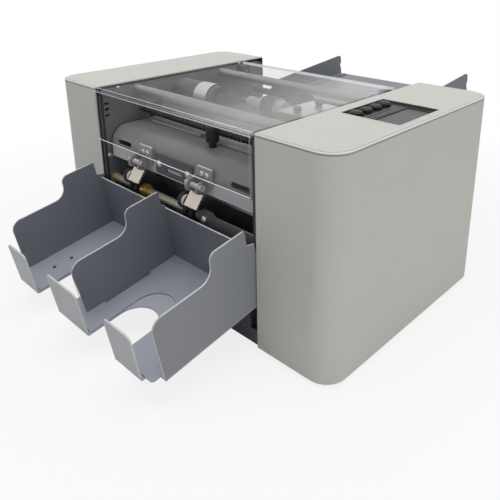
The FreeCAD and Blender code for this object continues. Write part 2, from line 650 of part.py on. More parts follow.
def make_exit():
    axis = (behind("exit_back"), "exit_height")
    shaft = rod("exit_bar", "x", "exit_radius", (f"-({FRAME_OUT} + 18)", f"{FRAME_OUT} + 1"), axis)
    pulley = turned("exit_pulley", "x", axis, [
        (f"-({FRAME_OUT} + 18)", "0"), (f"-({FRAME_OUT} + 18)", "9.5"), (f"-({FRAME_OUT} + 16.5)", "9.5"),
        (f"-({FRAME_OUT} + 16.5)", "7.5"), (f"-({FRAME_OUT} + 10.5)", "7.5"),
        (f"-({FRAME_OUT} + 10.5)", "9.5"), (f"-({FRAME_OUT} + 9)", "9.5"), (f"-({FRAME_OUT} + 9)", "0")])
    node(fuse("exit_spindle", shaft, pulley), "exit_shaft")
    wheels = []
    for sign in (-1, 1):
        for place_on, low in enumerate(("30", "21.5")):
            start = f"{sign} * pinch_offset - {low}"
            wheels.append(turned(f"wheel_{sign}_{place_on}", "x", axis, [
                (start, "exit_radius"), (start, "wheel_radius - 0.6"), (f"{start} + 0.8", "wheel_radius"),
                (f"{start} + 4.7", "wheel_radius"), (f"{start} + 5.5", "wheel_radius - 0.6"),
                (f"{start} + 5.5", "exit_radius")]))
    node(group("wheels", *wheels), "exit_wheels")
    start = "-pinch_offset - 14"
    node(turned("collar", "x", axis, [(start, "exit_radius"), (start, "6.5"), (f"{start} + 6", "6.5"),
                                      (f"{start} + 6", "5.2"), (f"{start} + 9", "5.2"),
                                      (f"{start} + 9", "exit_radius")]), "exit_collar")
    body = new_body("support_body")
    outline = [("40", "exit_height - 3", "8"), (FRAME_IN, "exit_height - 3"),
               (FRAME_IN, "exit_height + 9"), ("64", "exit_height + 9", "4"),
               ("58", "exit_height + 14", "6"), ("40", "exit_height + 14", "8")]
    pad(body, "XZ", [outline, circle("48.5", "exit_height + 5.5", "1.6")],
        behind("frame_front"), behind("frame_front + 2.5"))
    node(body, "shaft_support")


def make_pinch(side, sign):
    """One sprung pinch roller: arm, roller and the pieces that carry them."""
    centre = f"{sign} * pinch_offset"
    pivot = (behind("0"), "pivot_height")
    face = behind("hood_front")
    bracket = new_body(f"pinch_bracket_{side}_body")
    left = f"{centre} - bracket_half"
    pad(bracket, "XZ", [[(left, "hood_low + 4"), (f"{centre} + bracket_half", "hood_low + 4", "8"),
                         (f"{centre} + bracket_half", "hood_low + 25", "3"), (left, "hood_low + 25", "3")],
                        circle(f"{centre} - 2", "hood_low + 19", "1.5"),
                        circle(f"{centre} + 5", "hood_low + 19", "1.5"),
                        circle(f"{centre} - 3", "hood_low + 9", "1.6")], f"{face} - bracket_sheet", face)
    ear = [(face, "hood_low + 4"), (behind("-4.5"), "hood_low + 4", "4"),
           (behind("-4.5"), "pivot_height + 4.5", "4"), (face, "pivot_height + 8")]
    pad(bracket, "YZ", [ear, circle(*pivot, "axle_radius")], left, f"{left} + bracket_sheet")

    arm = new_body(f"pinch_arm_{side}_body")
    left_ear = f"{left} - fit - arm_sheet"
    right_ear = f"{left_ear} + arm_width - arm_sheet"
    axle = (behind("pinch_back"), PINCH)
    web_top, web_end = (behind("2"), "pivot_height - 7"), (behind("-6.5"), f"{PINCH} + 2.1")
    under_end, under_top = (behind("-5.3"), f"{PINCH} + 1.2"), (behind("3.2"), "pivot_height - 7.9")
    pad(arm, "YZ", [[web_top, web_end, under_end, under_top]], left_ear, f"{right_ear} + arm_sheet")
    bore = circle(*pivot, "axle_radius + running")
    crown = [web_top, (behind("-4.5"), "pivot_height - 4.5", "2"), (behind("-4.5"), "pivot_height + 5", "3"),
             (behind("4"), "pivot_height + 5", "3")]
    long_ear = crown + [(behind("4.5"), "pivot_height - 1"), (behind("pinch_back + 4"), "pivot_height - 8"),
                        (behind("pinch_back + 4"), f"{PINCH} - 4", "3.5"),
                        (behind("pinch_back - 4"), f"{PINCH} - 4", "3"), web_end]
    pad(arm, "YZ", [long_ear, bore], left_ear, f"{left_ear} + arm_sheet")
    short_ear = crown + [(behind("4.5"), "pivot_height - 8"), under_end, web_end]
    pad(arm, "YZ", [short_ear, bore], right_ear, f"{right_ear} + arm_sheet")
    axle_bar = rod(f"pinch_axle_{side}", "x", "axle_radius", (f"{left_ear} - 17", left_ear), axle)
    axle_cap = rod(f"pinch_cap_{side}", "x", "2.6", (f"{left_ear} - 17", f"{left_ear} - 16"), axle)
    node(fuse(f"pinch_arm_{side}_whole", arm, axle_bar, axle_cap), f"pinch_arm_{side}")

    start = f"({left_ear} - 15.7)"
    grooves = [(start, "axle_radius + running"), (start, "pinch_radius - 2")]
    for low in (1.5, 10.0):
        rim = (f"{start} + {low}", f"{start} + {low + 3.5}")
        grooves += [(rim[0], "pinch_radius - 2"), (rim[0], "pinch_radius"),
                    (rim[1], "pinch_radius"), (rim[1], "pinch_radius - 2")]
    grooves += [(f"{start} + 15.2", "pinch_radius - 2"), (f"{start} + 15.2", "axle_radius + running")]
    node(turned(f"pinch_roller_{side}_turned", "x", axle, grooves), f"pinch_roller_{side}")

    shank = rod(f"pivot_shank_{side}", "x", "axle_radius",
                (left_ear, f"{right_ear} + arm_sheet + 1"), pivot)
    head = rod(f"pivot_head_{side}", "x", "3",
               (f"{right_ear} + arm_sheet + 0.2", f"{right_ear} + arm_sheet + 2"), pivot)
    coil_span = (f"{left} + bracket_sheet + 0.3", f"{right_ear} - 0.3")
    coil = tube(f"spring_coil_{side}", "x", "axle_radius + 1.5", "axle_radius + 0.3", coil_span, pivot)
    leg = rod(f"spring_leg_{side}", "y", "0.5", (behind("2.2"), f"{face} - bracket_sheet"),
              (f"{left} + bracket_sheet + 1.5", "pivot_height"))
    return bracket, fuse(f"pivot_{side}", shank, head), fuse(f"spring_{side}", coil, leg)


def make_pinches():
    sets = [make_pinch(side, sign) for side, sign in (("left", -1), ("right", 1))]
    brackets, pivots, springs = zip(*sets)
    node(group("bracket_pair", *brackets), "pinch_brackets")
    node(group("pivot_pair", *pivots), "pinch_pivots")
    node(group("spring_pair", *springs), "pinch_springs")


# ---------------------------------------------------------------- knife cover

def make_hood():
    """Bent cover over the guillotine, with the flange that carries the pinch brackets."""
    body = new_body("hood_body")
    front, back = behind("hood_front"), behind("hood_back")
    inside = f"({front} + hood_sheet)"
    profile = [(front, "hood_low"), (inside, "hood_low"),
               (inside, "hood_top - hood_sheet", "hood_bend - hood_sheet"),
               (back, "hood_top - hood_sheet"), (back, "hood_top"), (front, "hood_top", "hood_bend")]
    pad(body, "YZ", [profile], "-hood_half", "hood_half")
    for sign in (-1, 1):
        tab = mirrored(sign, "hood_half - 2", FRAME_IN)
        pad(body, "XY", [rect(tab, (behind("hood_back - 14"), back))], "hood_top - hood_sheet", "hood_top")
    slots = [rect((f"{x} - 12", f"{x} + 12"), ("hood_low + 15", "hood_low + 20"), "2.4") for x in (-84, 88)]
    pocket(body, "XZ", slots, f"{front} - 1", behind("hood_front + hood_bend"))
    pocket(body, "XY", [circle("knob_at", behind("knob_back"), "2 + running")],
           "hood_top - hood_sheet - 1", "hood_top + 1")
    node(body, "knife_cover")

    left = new_body("left_plate_body")
    outline = [("-98", behind("50"), "6"), ("-12", behind("50")), ("-2", behind("58"), "3"),
               ("-2", behind("90"), "3"), ("-98", behind("90"), "6")]
    holes = [circle(x, behind(y), "1.6") for x, y in (("-78", "72"), ("-60", "70"), ("-46", "70"))]
    pad(left, "XY", [outline] + holes, "hood_top", "hood_top + lid_plate")
    node(left, "knife_lid_left")
    right = new_body("right_plate_body")
    outline = [("4", behind("47"), "3"), ("102", behind("47"), "4"), ("102", behind("90"), "4"),
               ("4", behind("90"), "3")]
    holes = [circle(x, behind(y), "1.6") for x, y in (("52", "60"), ("88", "60"))]
    slot = rect(("60", "76"), (behind("56.5"), behind("60.5")), "1.9")
    pad(right, "XY", [outline, slot] + holes, "hood_top", "hood_top + lid_plate")
    node(right, "knife_lid_right")
    plate = new_body("face_plate_body")
    outline = [("-28", "hood_low + 2", "2"), ("27", "hood_low + 2", "6"), ("27", "hood_low + 22", "3"),
               ("-28", "hood_low + 22", "3")]
    holes = [circle(x, "hood_low + 12", "1.6") for x in ("-22", "21")]
    slot = rect(("-12", "12"), ("hood_low + 6", "hood_low + 10"), "1.9")
    pad(plate, "XZ", [outline, slot] + holes, behind("hood_front - 1.5"), behind("hood_front"))
    node(plate, "knife_face_plate")


# ---------------------------------------------------------------- guillotine

def make_guillotine():
    """Beam and blade that travel down past the fixed blade, drawn by eccentrics in two yokes."""
    beam_front = behind("beam_back")
    beam_rear = behind("beam_back + beam_depth")
    reach = f"({FRAME_OUT} + yoke_gap)"
    beam = new_body("beam_body")
    profile = [(beam_front, "beam_low"), (beam_rear, "beam_low"), (beam_rear, "beam_high", "3"),
               (beam_front, "beam_high", "3")]
    pad(beam, "YZ", [profile], f"-{reach}", reach)

    cam_height = "(crank_height + knife_travel / 2)"
    middle = behind("beam_back + beam_depth / 2")
    half_high = "(cam_radius + yoke_play)"
    half_wide = "(cam_radius + knife_travel / 2 + 1)"
    for sign in (-1, 1):
        low, high = f"({cam_height} - {half_high} - 5)", f"({cam_height} + {half_high} + 5)"
        wide = f"({half_wide} + 5)"
        outline = [(f"{middle} - {wide}", low, "5"), (f"{middle} + {wide}", low, "5"),
                   (f"{middle} + {wide}", high, "5"), (f"{middle} + 9", high, "4"),
                   (f"{middle} + 9", "beam_high", "4"), (f"{middle} - 9", "beam_high", "4"),
                   (f"{middle} - 9", high, "4"), (f"{middle} - {wide}", high, "5")]
        window = rect((f"{middle} - {half_wide}", f"{middle} + {half_wide}"),
                      (f"{cam_height} - {half_high}", f"{cam_height} + {half_high}"), "4")
        pad(beam, "YZ", [outline, window], *mirrored(sign, reach, f"{reach} + yoke_plate"))
    node(beam, "knife_beam")

    crank_end = f"({reach} + yoke_plate + 2)"
    crank = rod("crank_bar", "x", "crank_radius", (f"-{crank_end}", crank_end), (middle, "crank_height"))
    cams = [rod(f"cam_{side}", "x", "cam_radius",
                mirrored(sign, f"{reach} + 0.3", f"{reach} + yoke_plate - 0.3"), (middle, cam_height))
            for side, sign in (("left", -1), ("right", 1))]
    node(fuse("crank_whole", crank, *cams), "knife_crankshaft")

    blade = new_body("upper_blade_body")
    edge = "(path_height + 4)"
    pad(blade, "XZ", [[("-blade_half", f"{edge} - blade_shear"), ("blade_half", edge),
                       ("blade_half", "beam_low + 12"), ("-blade_half", "beam_low + 12")]],
        f"{beam_front} - blade_sheet", beam_front)
    node(blade, "upper_blade")
    lower_front = f"({beam_front} + 0.1)"
    node(box("lower_blade_bar", ("-blade_half", "blade_half"), (lower_front, f"{lower_front} + blade_sheet"),
             ("path_height - 16", "path_height - 0.5")), "lower_blade")
    bed = new_body("bed_body")
    profile = [(lower_front, "bed_low"), (behind("beam_back + 20"), "bed_low"),
               (behind("beam_back + 20"), "path_height - 5"), (behind("beam_back + 12"), "path_height - 1"),
               (f"{lower_front} + blade_sheet", "path_height - 1"),
               (f"{lower_front} + blade_sheet", "path_height - 16"), (lower_front, "path_height - 16")]
    pad(bed, "YZ", [profile], f"-{FRAME_IN}", FRAME_IN)
    node(bed, "knife_bed")


# ---------------------------------------------------------------- slitter

SLITTER_STEP = "(disc_radius - disc_overlap / 2)"
SLITTER_UP = f"(path_height + {SLITTER_STEP})"
SLITTER_DOWN = f"(path_height - {SLITTER_STEP})"


def gear(name, turn):
    """Involute spur gear across X, whose pitch circle is half the distance of the shafts."""
    teeth = int(round(value("gear_teeth")))
    pitch = value(SLITTER_STEP)
    module = 2 * pitch / teeth
    base, tip, root = pitch * math.cos(math.radians(20)), pitch + 0.9 * module, pitch - 1.15 * module

    def spread(radius):
        lean = math.acos(min(1.0, base / radius))
        return math.tan(lean) - lean

    half_tooth = math.pi / (2 * teeth) - 0.012 + spread(pitch)
    low = max(base, root)
    radii = [root, low, (low + tip) / 2, tip]
    points = []
    for tooth in range(teeth):
        middle = 2 * math.pi * tooth / teeth + math.radians(turn)
        flank = [(radius, half_tooth - spread(max(radius, base))) for radius in radii]
        for radius, half in flank:
            points.append((radius, middle - half))
        for radius, half in reversed(flank):
            points.append((radius, middle + half))
    ring = [Vector(0, radius * math.sin(angle), radius * math.cos(angle)) for radius, angle in points]
    wheel = doc.addObject("Part::Feature", name)
    wheel.Shape = Part.Face(Part.makePolygon(ring + ring[:1])).extrude(Vector(value("gear_width"), 0, 0))
    return wheel


def make_slitter():
    """Two shafts of disc blades that turn against each other like scissors."""
    gear_start = f"-({FRAME_OUT} + 2.5 + gear_width)"
    half_pitch = 180 / value("gear_teeth")
    for level, height, turn in (("upper", SLITTER_UP, 0.0), ("lower", SLITTER_DOWN, half_pitch)):
        axis = (behind("slitter_back"), height)
        end = f"({FRAME_OUT} + 18)" if level == "lower" else f"({FRAME_OUT} + 3 + gear_width)"
        pieces = [rod(f"slitter_bar_{level}", "x", "slitter_radius", (f"-{end}", f"{FRAME_OUT} + 1"), axis),
                  place(gear(f"slitter_gear_{level}", turn), gear_start, *axis)]
        if level == "lower":
            pieces.append(turned("slitter_pulley", "x", axis, [
                (f"-{end}", "0"), (f"-{end}", "9.5"), (f"-{end} + 1.5", "9.5"), (f"-{end} + 1.5", "7.5"),
                (f"-{end} + 7.5", "7.5"), (f"-{end} + 7.5", "9.5"), (f"-{end} + 9", "9.5"),
                (f"-{end} + 9", "0")]))
        node(fuse(f"slitter_{level}", *pieces), f"slitter_shaft_{level}")
        discs = []
        for i, at in enumerate(("-slit_outer", "-slit_inner", "slit_inner", "slit_outer")):
            side = 1 if level == "upper" else -1
            face = f"({at} + {side} * 0.02)"
            rim = f"({face} + {side} * disc_sheet)"
            bevel = f"({face} + {side} * 0.6)"
            hub = f"({face} + {side} * hub_length)"
            profile = [(face, "slitter_radius"), (face, "disc_radius"), (bevel, "disc_radius"),
                       (rim, "disc_radius - 3"), (rim, "hub_radius"), (hub, "hub_radius"),
                       (hub, "slitter_radius")]
            discs.append(turned(f"disc_{level}_{i}", "x", axis, profile))
        node(group(f"discs_{level}", *discs), f"slitter_blades_{level}")


# ---------------------------------------------------------------- sheet feed

def on_rear_tray(thing, x="0"):
    """Stand a piece in the rear tray's frame: Y runs backwards along it, Z stands on it."""
    return tilt(thing, "rear_tilt", x=x, y=behind("rear_back"), z="table_height")


def make_feed():
    axis = (behind("feed_back"), "feed_height")
    ends = (f"-({FRAME_OUT} + 1)", f"{FRAME_OUT} + 1")
    node(rod("feed_bar", "x", "exit_radius", ends, axis), "feed_shaft")
    steps = (("-70", "7"), ("-58", "7"), ("-58", "5.5"), ("-50", "5.5"), ("-50", "feed_radius - 3"),
             ("-42", "feed_radius - 3"), ("-42", "feed_radius"), ("-22", "feed_radius"),
             ("-22", "feed_radius - 3"), ("-12", "feed_radius - 3"))
    profile = [("-70", "exit_radius")] + list(steps) + [("-12", "exit_radius")]
    node(turned("feed_drum", "x", axis, profile), "feed_rollers")
    profile = [(ends[0], "0"), (ends[0], "exit_radius"), ("-72", "exit_radius"),
               ("-72", "pickup_radius - 1"), ("-71", "pickup_radius"), ("-21", "pickup_radius"),
               ("-20", "pickup_radius - 1"),
               ("-20", "exit_radius"), (ends[1], "exit_radius"), (ends[1], "0")]
    node(turned("pickup", "x", (behind("pickup_back"), "pickup_height"), profile), "pickup_roller")

    table = new_body("table_body")
    level, low = "table_height", "path_height - 0.5"
    discs_end = "slitter_back + disc_radius"
    outline = [(behind("rear_back - fit"), level), (behind("feed_back - 10"), level),
               (behind(f"{discs_end} + 7.5"), low), (behind(f"{discs_end} + 1.5"), low),
               (behind(f"{discs_end} + 1.5"), f"{low} - table_sheet"),
               (behind(f"{discs_end} + 7.5"), f"{low} - table_sheet"),
               (behind("feed_back - 9"), f"{level} - table_sheet"),
               (behind("rear_back - fit"), f"{level} - table_sheet")]
    pad(table, "YZ", [outline], f"-({FRAME_IN})", FRAME_IN)
    node(table, "paper_table")

    tray = new_body("rear_tray_body")
    pad(tray, "XY", [rect(("-rear_half", "rear_half"), ("0", "rear_length"), "4")], "-table_sheet", "0")
    pad(tray, "XZ", [rect(("-rear_half + 8", "rear_half - 8"), ("-8", "0"), "1")],
        "rear_length - table_sheet", "rear_length")
    for sign in (-1, 1):
        pad(tray, "XY", [rect(mirrored(sign, "rear_half - 5", FRAME_IN), ("3", "26"))], "-table_sheet", "0")
        lug = [("3", "-12", "3"), ("26", "-12", "3"), ("26", "0"), ("3", "0")]
        pad(tray, "YZ", [lug], *mirrored(sign, f"{FRAME_IN} - table_sheet", FRAME_IN))
    slots = [rect(mirrored(sign, "guide_at - guide_travel - 5", "guide_at + 4"),
                  (f"{y} - 2.7", f"{y} + 2.7"), "2.6")
             for sign in (-1, 1) for y in ("guide_front + 14", "rear_length - 30")]
    pocket(tray, "XY", slots, "-table_sheet - 1", "1")
    node(on_rear_tray(tray), "rear_tray")

    for side, sign in (("left", -1), ("right", 1)):
        guide = new_body(f"guide_{side}_body")
        wall = mirrored(sign, "guide_at", "guide_at + table_sheet")
        rear = "rear_length"
        outline = [("guide_front", "running"), (rear, "running"), (rear, "8", "1"),
                   (f"{rear} - 1.8", "10", "1"), (f"{rear} - 1.8", "14", "1"), (rear, "16", "1"),
                   (rear, "guide_high", "5"), ("guide_front", "guide_low", "6")]
        pad(guide, "YZ", [outline], *wall)
        foot = mirrored(sign, "guide_at - 12", "guide_at + 0.5")
        pad(guide, "XY", [rect(foot, ("guide_front + 2", f"{rear} - 4"))], "running", "running + table_sheet")
        for y in ("guide_front + 14", "rear_length - 30"):
            pad(guide, "XY", [rect(mirrored(sign, "guide_at - 1.5", "guide_at + table_sheet"),
                                   (f"{y} - 2.6", f"{y} + 2.6"))], "-table_sheet - 3", "running + 1")
        node(on_rear_tray(guide), f"guide_{side}")


def make_feed_bracket():
    """Bent plate on the right side frame, with the two thumb screws that set the feed gap."""
    body = new_body("feed_bracket_body")
    front, rear = behind("bracket_front"), behind("bracket_rear")
    level = "(bracket_height - table_sheet)"
    holes = [circle("bracket_left + 20", behind(y), "2 + running")
             for y in ("bracket_front + 10", "bracket_rear - 12")]
    pad(body, "XY", [rect(("bracket_left", FRAME_IN), (front, rear))] + holes, level, "bracket_height")
    pad(body, "XZ", [rect(("bracket_left", FRAME_IN), ("bracket_height - 16", "bracket_height"))],
        front, f"{front} + table_sheet")
    node(body, "feed_bracket")
    for name, y in (("front", "bracket_front + 10"), ("rear", "bracket_rear - 12")):
        at = ("bracket_left + 20", behind(y))
        stem = rod(f"thumb_stem_{name}", "z", "2", (f"{level} - 4", "bracket_height + 2"), at)
        disc = turned(f"thumb_disc_{name}", "z", at, [
            ("bracket_height + 0.2", "0"), ("bracket_height + 0.2", "3.4"), ("bracket_height + 1.8", "3.4"),
            ("bracket_height + 2", "thumb_radius"), ("bracket_height + 5", "thumb_radius"),
            ("bracket_height + 6", "thumb_radius - 1"), ("bracket_height + 6", "0")])
        slots = [box(f"thumb_slot_{name}_{i}", (f"{at[0]} - {dx}", f"{at[0]} + {dx}"),
                     (f"{at[1]} - {dy}", f"{at[1]} + {dy}"), ("bracket_height + 4.2", "bracket_height + 7"))
                 for i, (dx, dy) in enumerate(((6, 0.8), (0.8, 6)))]
        node(cut(f"thumb_{name}", fuse(f"thumb_whole_{name}", stem, disc), *slots), f"thumb_screw_{name}")


def make_motor():
    axis = (behind("motor_back"), "motor_height")
    wall = f"-{FRAME_IN}"
    steps = [(wall, "0"), (wall, "motor_radius - 2"), (f"{wall} + 7", "motor_radius - 2"),
             (f"{wall} + 7", "motor_radius"), (f"{wall} + 40", "motor_radius"),
             (f"{wall} + 40", "motor_radius + 0.6"), (f"{wall} + 60", "motor_radius + 0.6"),
             (f"{wall} + 60", "motor_radius - 0.6"), (f"{wall} + 66", "motor_radius - 1.6"),
             (f"{wall} + 66", "5"), (f"{wall} + 70", "5"), (f"{wall} + 70", "0")]
    node(turned("motor", "x", axis, steps), "drive_motor")


def make_conduit_and_knob():
    """Ribbed conduit across the machine and the knurled knob on the knife cover."""
    ribs = 28
    step = f"(frame_gap / {ribs})"
    profile = [(f"-{FRAME_IN}", "0")]
    for i in range(ribs):
        start = f"(-{FRAME_IN} + {i} * {step})"
        profile += [(start, "conduit_radius - 1.2"), (f"{start} + {step} * 0.3", "conduit_radius"),
                    (f"{start} + {step} * 0.7", "conduit_radius")]
    profile += [(FRAME_IN, "conduit_radius - 1.2"), (FRAME_IN, "0")]
    node(turned("conduit", "x", (behind("conduit_back"), "conduit_height"), profile), "ribbed_conduit")
    at = ("knob_at", behind("knob_back"))
    profile = [("hood_top - hood_sheet", "0"), ("hood_top - hood_sheet", "2"), ("hood_top + 0.3", "2"),
               ("hood_top + 0.3", "3.6"), ("hood_top + 5", "3.6"), ("hood_top + 5", "knob_radius"),
               ("knob_top - 1", "knob_radius"), ("knob_top", "knob_radius - 1"), ("knob_top", "0")]
    node(turned("knob", "z", at, profile), "adjust_knob")


def make_bushes():
    """Bearing bushes pressed into the side frames."""
    wanted = [("exit", "exit_radius", behind("exit_back"), "exit_height"),
              ("upper", "slitter_radius", behind("slitter_back"), SLITTER_UP),
              ("lower", "slitter_radius", behind("slitter_back"), SLITTER_DOWN),
              ("feed", "exit_radius", behind("feed_back"), "feed_height"),
              ("pickup", "exit_radius", behind("pickup_back"), "pickup_height"),
              ("crank", "crank_radius", behind("beam_back + beam_depth / 2"), "crank_height")]
    bushes = [tube(f"bush_{name}_{side}", "x", f"{radius} + 2", f"{radius} + running",
                   mirrored(sign, FRAME_IN, f"{FRAME_OUT} + 0.5"), (y, z))
              for name, radius, y, z in wanted for side, sign in (("left", -1), ("right", 1))]
    node(group("bushes", *bushes), "shaft_bushes")


# ---------------------------------------------------------------- controls

def make_controls():
    """Control panel under the right cover's window, its buttons and circuit board."""
    under = f"({TOP} - cover_wall)"
    plate_low = f"({under} - panel_plate)"
    spots = [("button_at", behind(f"(button_first + {i} * button_pitch)")) for i in range(4)]
    panel = new_body("panel_body")
    plate = rect(("panel_at - panel_wide / 2 - 3", "panel_at + panel_wide / 2 + 3"),
                 (behind("panel_back - panel_long / 2 - 3"), behind("panel_back + panel_long / 2 + 3")))
    pad(panel, "XY", [plate] + [circle(x, y, "button_radius + running") for x, y in spots], plate_low, under)
    display_span = (behind("panel_back - panel_long / 2 + 6"), behind("panel_back + panel_long / 2 - 6"))
    display = rect(("panel_at + 1", "panel_at + panel_wide / 2 - 4"), display_span, "1")
    pocket(panel, "XY", [display], f"{under} - 0.8", f"{under} + 1")
    node(panel, "control_panel")
    board_top = f"({plate_low} - 9)"
    board = box("board_plate", ("panel_at - 30", "panel_at + 30"),
                (behind("panel_back - 33"), behind("panel_back + 33")),
                (f"{board_top} - board_sheet", board_top))
    corners = [(f"panel_at + {x}", behind(f"panel_back + {y}")) for x in (-27, 27) for y in (-30.5, 30.5)]
    posts = [rod(f"board_post_{i}", "z", "2.5", (f"{board_top} - 0.5", plate_low), corner)
             for i, corner in enumerate(corners)]
    switches = [box(f"board_switch_{i}", (f"{x} - 3", f"{x} + 3"), (f"{y} - 3", f"{y} + 3"),
                    (f"{board_top} - 0.5", f"{board_top} + 3")) for i, (x, y) in enumerate(spots)]
    node(fuse("board", board, *posts, *switches), "circuit_board")
    for i, (x, y) in enumerate(spots, start=1):
        stem_low = f"({board_top} + 3 + button_travel + fit)"
        flange = f"({plate_low} - 1.2 - running)"
        profile = [(stem_low, "0"), (stem_low, "2"), (flange, "2"), (flange, "button_radius + 1.2"),
                   (f"{flange} + 1.2", "button_radius + 1.2"), (f"{flange} + 1.2", "button_radius"),
                   (f"{TOP} + 0.6", "button_radius"), (f"{TOP} + 1.8", "button_radius - 1.2"),
                   (f"{TOP} + 2.2", "button_radius - 3.2"), (f"{TOP} + 2.2", "0")]
        node(turned(f"button_{i}_turned", "z", (x, y), profile), f"button_{i}")


def make_power():
    """Mains inlet with its rocker switch in the back of the right cover."""
    wall = f"({BACK} - cover_wall)"
    body = new_body("inlet_body")
    pad(body, "XZ", [rect(("inlet_at - 14", "inlet_at + 14"), ("inlet_height - 24", "inlet_height + 24"))],
        f"{wall} - 22", f"{BACK} + 0.1")
    flange = rect(("inlet_at - 17", "inlet_at + 17"), ("inlet_height - 27", "inlet_height + 27"), "3")
    pad(body, "XZ", [flange], BACK, f"{BACK} + 2.5")
    pocket(body, "XZ", [[("inlet_at - 11.5", "inlet_height - 20"), ("inlet_at + 11.5", "inlet_height - 20"),
                         ("inlet_at + 11.5", "inlet_height - 8"), ("inlet_at + 7", "inlet_height - 4"),
                         ("inlet_at - 7", "inlet_height - 4"), ("inlet_at - 11.5", "inlet_height - 8")]],
           f"{BACK} - 14", f"{BACK} + 4")
    rocker_well = rect(("inlet_at - 6.5", "inlet_at + 6.5"), ("inlet_height + 2", "inlet_height + 21"))
    pocket(body, "XZ", [rocker_well], f"{BACK} - 9", f"{BACK} + 4")
    pins = [box(f"inlet_pin_{i}", (f"inlet_at + {x} - 1", f"inlet_at + {x} + 1"),
                (f"{BACK} - 14.5", f"{BACK} - 2"), (f"inlet_height + {z} - 2", f"inlet_height + {z} + 2"))
            for i, (x, z) in enumerate(((-7, -14), (7, -14), (0, -9)))]
    middle = "(inlet_height + 11.5)"
    pivot = (f"{BACK} - 2", middle)
    socket = rod("rocker_socket", "x", "1.5 + running", ("inlet_at - 8", "inlet_at + 8"), pivot)
    node(cut("inlet", fuse("inlet_whole", body, *pins), socket), "power_inlet")
    rocker = new_body("rocker_body")
    profile = [(f"{BACK} - 6", f"{middle} - 5"), (f"{BACK} + 2.8", f"{middle} - 8.2"),
               (f"{BACK} + 3.2", middle), (f"{BACK} + 5.4", f"{middle} + 8.2"),
               (f"{BACK} - 6", f"{middle} + 5")]
    pad(rocker, "YZ", [profile], "inlet_at - 6.2", "inlet_at + 6.2")
    trunnion = rod("rocker_trunnion", "x", "1.5", ("inlet_at - 7.7", "inlet_at + 7.7"), pivot)
    node(fuse("rocker", rocker, trunnion), "power_switch")


# ---------------------------------------------------------------- screws

def screw(name, axis, out, surface, at, head="2.6"):
    """Pan head screw whose head sits on a surface; out is +1 or -1 along its axis."""
    ends = sorted((f"{surface}", f"{surface} + {out * 1.7}"), key=value)
    sunk = sorted((f"{surface} - {out * 1.4}", f"{surface} + {out * 0.5}"), key=value)
    return fuse(name, rod(name + "_head", axis, head, ends, at), rod(name + "_shank", axis, "1.4", sunk, at))


def make_screws():
    screws = []
    lid_top = "hood_top + lid_plate"
    for i, (x, y) in enumerate((("-78", "72"), ("-60", "70"), ("-46", "70"), ("52", "60"), ("88", "60"))):
        screws.append(screw(f"lid_screw_{i}", "z", 1, lid_top, (x, behind(y))))
    for i, x in enumerate(("-22", "21")):
        screws.append(screw(f"face_screw_{i}", "y", -1, behind("(hood_front - 1.5)"), (x, "hood_low + 12")))
    for side, sign in (("left", -1), ("right", 1)):
        for i, x in enumerate((-2, 5)):
            screws.append(screw(f"bracket_screw_{side}_{i}", "y", -1, behind("(hood_front - bracket_sheet)"),
                                (f"{sign} * pinch_offset + {x}", "hood_low + 19"), "2.2"))
    screws.append(screw("support_screw", "y", -1, behind("frame_front"), ("48.5", "exit_height + 5.5"), "3"))
    node(group("screws", *screws), "machine_screws")


def write_parts():
    """Check every object and write each sub-part to its own file."""
    doc.recompute()
    for item in doc.Objects:
        if {"Invalid", "Error"} & set(item.State):
            raise RuntimeError(f"{item.Name} ({item.Label}) failed: {item.State}")
    os.makedirs("parts", exist_ok=True)
    for item in nodes:
        shape = item.Shape
        if shape.isNull() or not shape.isValid() or not shape.Solids:
            raise RuntimeError(f"{item.Label} has no valid solid")
        shape.exportStep(f"parts/{item.Label}.step")
        print(f"{item.Label}: {len(shape.Solids)} solid(s), {shape.Volume:.0f} mm3")
    print(len(nodes), "nodes")


make_base_pan()
for part_side, part_sign in (("left", -1), ("right", 1)):
    make_side_frame(part_side, part_sign)
    make_cover(part_side, part_sign)
make_tie_rods()
make_lid()
make_tray()
make_exit()
make_pinches()
make_hood()
make_guillotine()
make_slitter()
make_feed()
make_feed_bracket()
make_motor()
make_conduit_and_knob()
make_bushes()
make_controls()
make_power()
make_screws()
write_parts()
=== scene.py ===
# %% [markdown]
# # Dressing a business card cutter
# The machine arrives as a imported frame: its sub-parts in metres, X to the right, Y to the back and
# Z up, each already riding on its body. The cells below give every sub-part its finish, add the
# small pieces that are fitted last on the real machine, such as screws and springs, and light the
# whole. Nothing that the frame holds is moved.

# %% Load the frame
import math
import bmesh
import bpy
import numpy as np
from mathutils import Matrix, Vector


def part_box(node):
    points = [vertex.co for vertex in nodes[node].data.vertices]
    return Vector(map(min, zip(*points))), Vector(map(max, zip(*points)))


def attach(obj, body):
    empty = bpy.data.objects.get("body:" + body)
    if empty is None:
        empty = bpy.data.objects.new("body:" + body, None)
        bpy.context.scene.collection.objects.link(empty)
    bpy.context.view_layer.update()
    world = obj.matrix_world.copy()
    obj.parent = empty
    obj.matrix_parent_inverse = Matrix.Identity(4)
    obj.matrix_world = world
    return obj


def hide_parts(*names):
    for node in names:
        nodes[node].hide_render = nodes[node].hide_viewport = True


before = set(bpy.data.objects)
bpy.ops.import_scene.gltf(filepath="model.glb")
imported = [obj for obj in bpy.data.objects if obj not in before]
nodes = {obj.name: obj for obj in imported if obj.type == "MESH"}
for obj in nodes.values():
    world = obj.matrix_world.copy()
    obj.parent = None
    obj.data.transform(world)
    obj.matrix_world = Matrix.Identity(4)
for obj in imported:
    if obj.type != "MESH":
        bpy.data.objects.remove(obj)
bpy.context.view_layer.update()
front_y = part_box("cover_right")[0].y

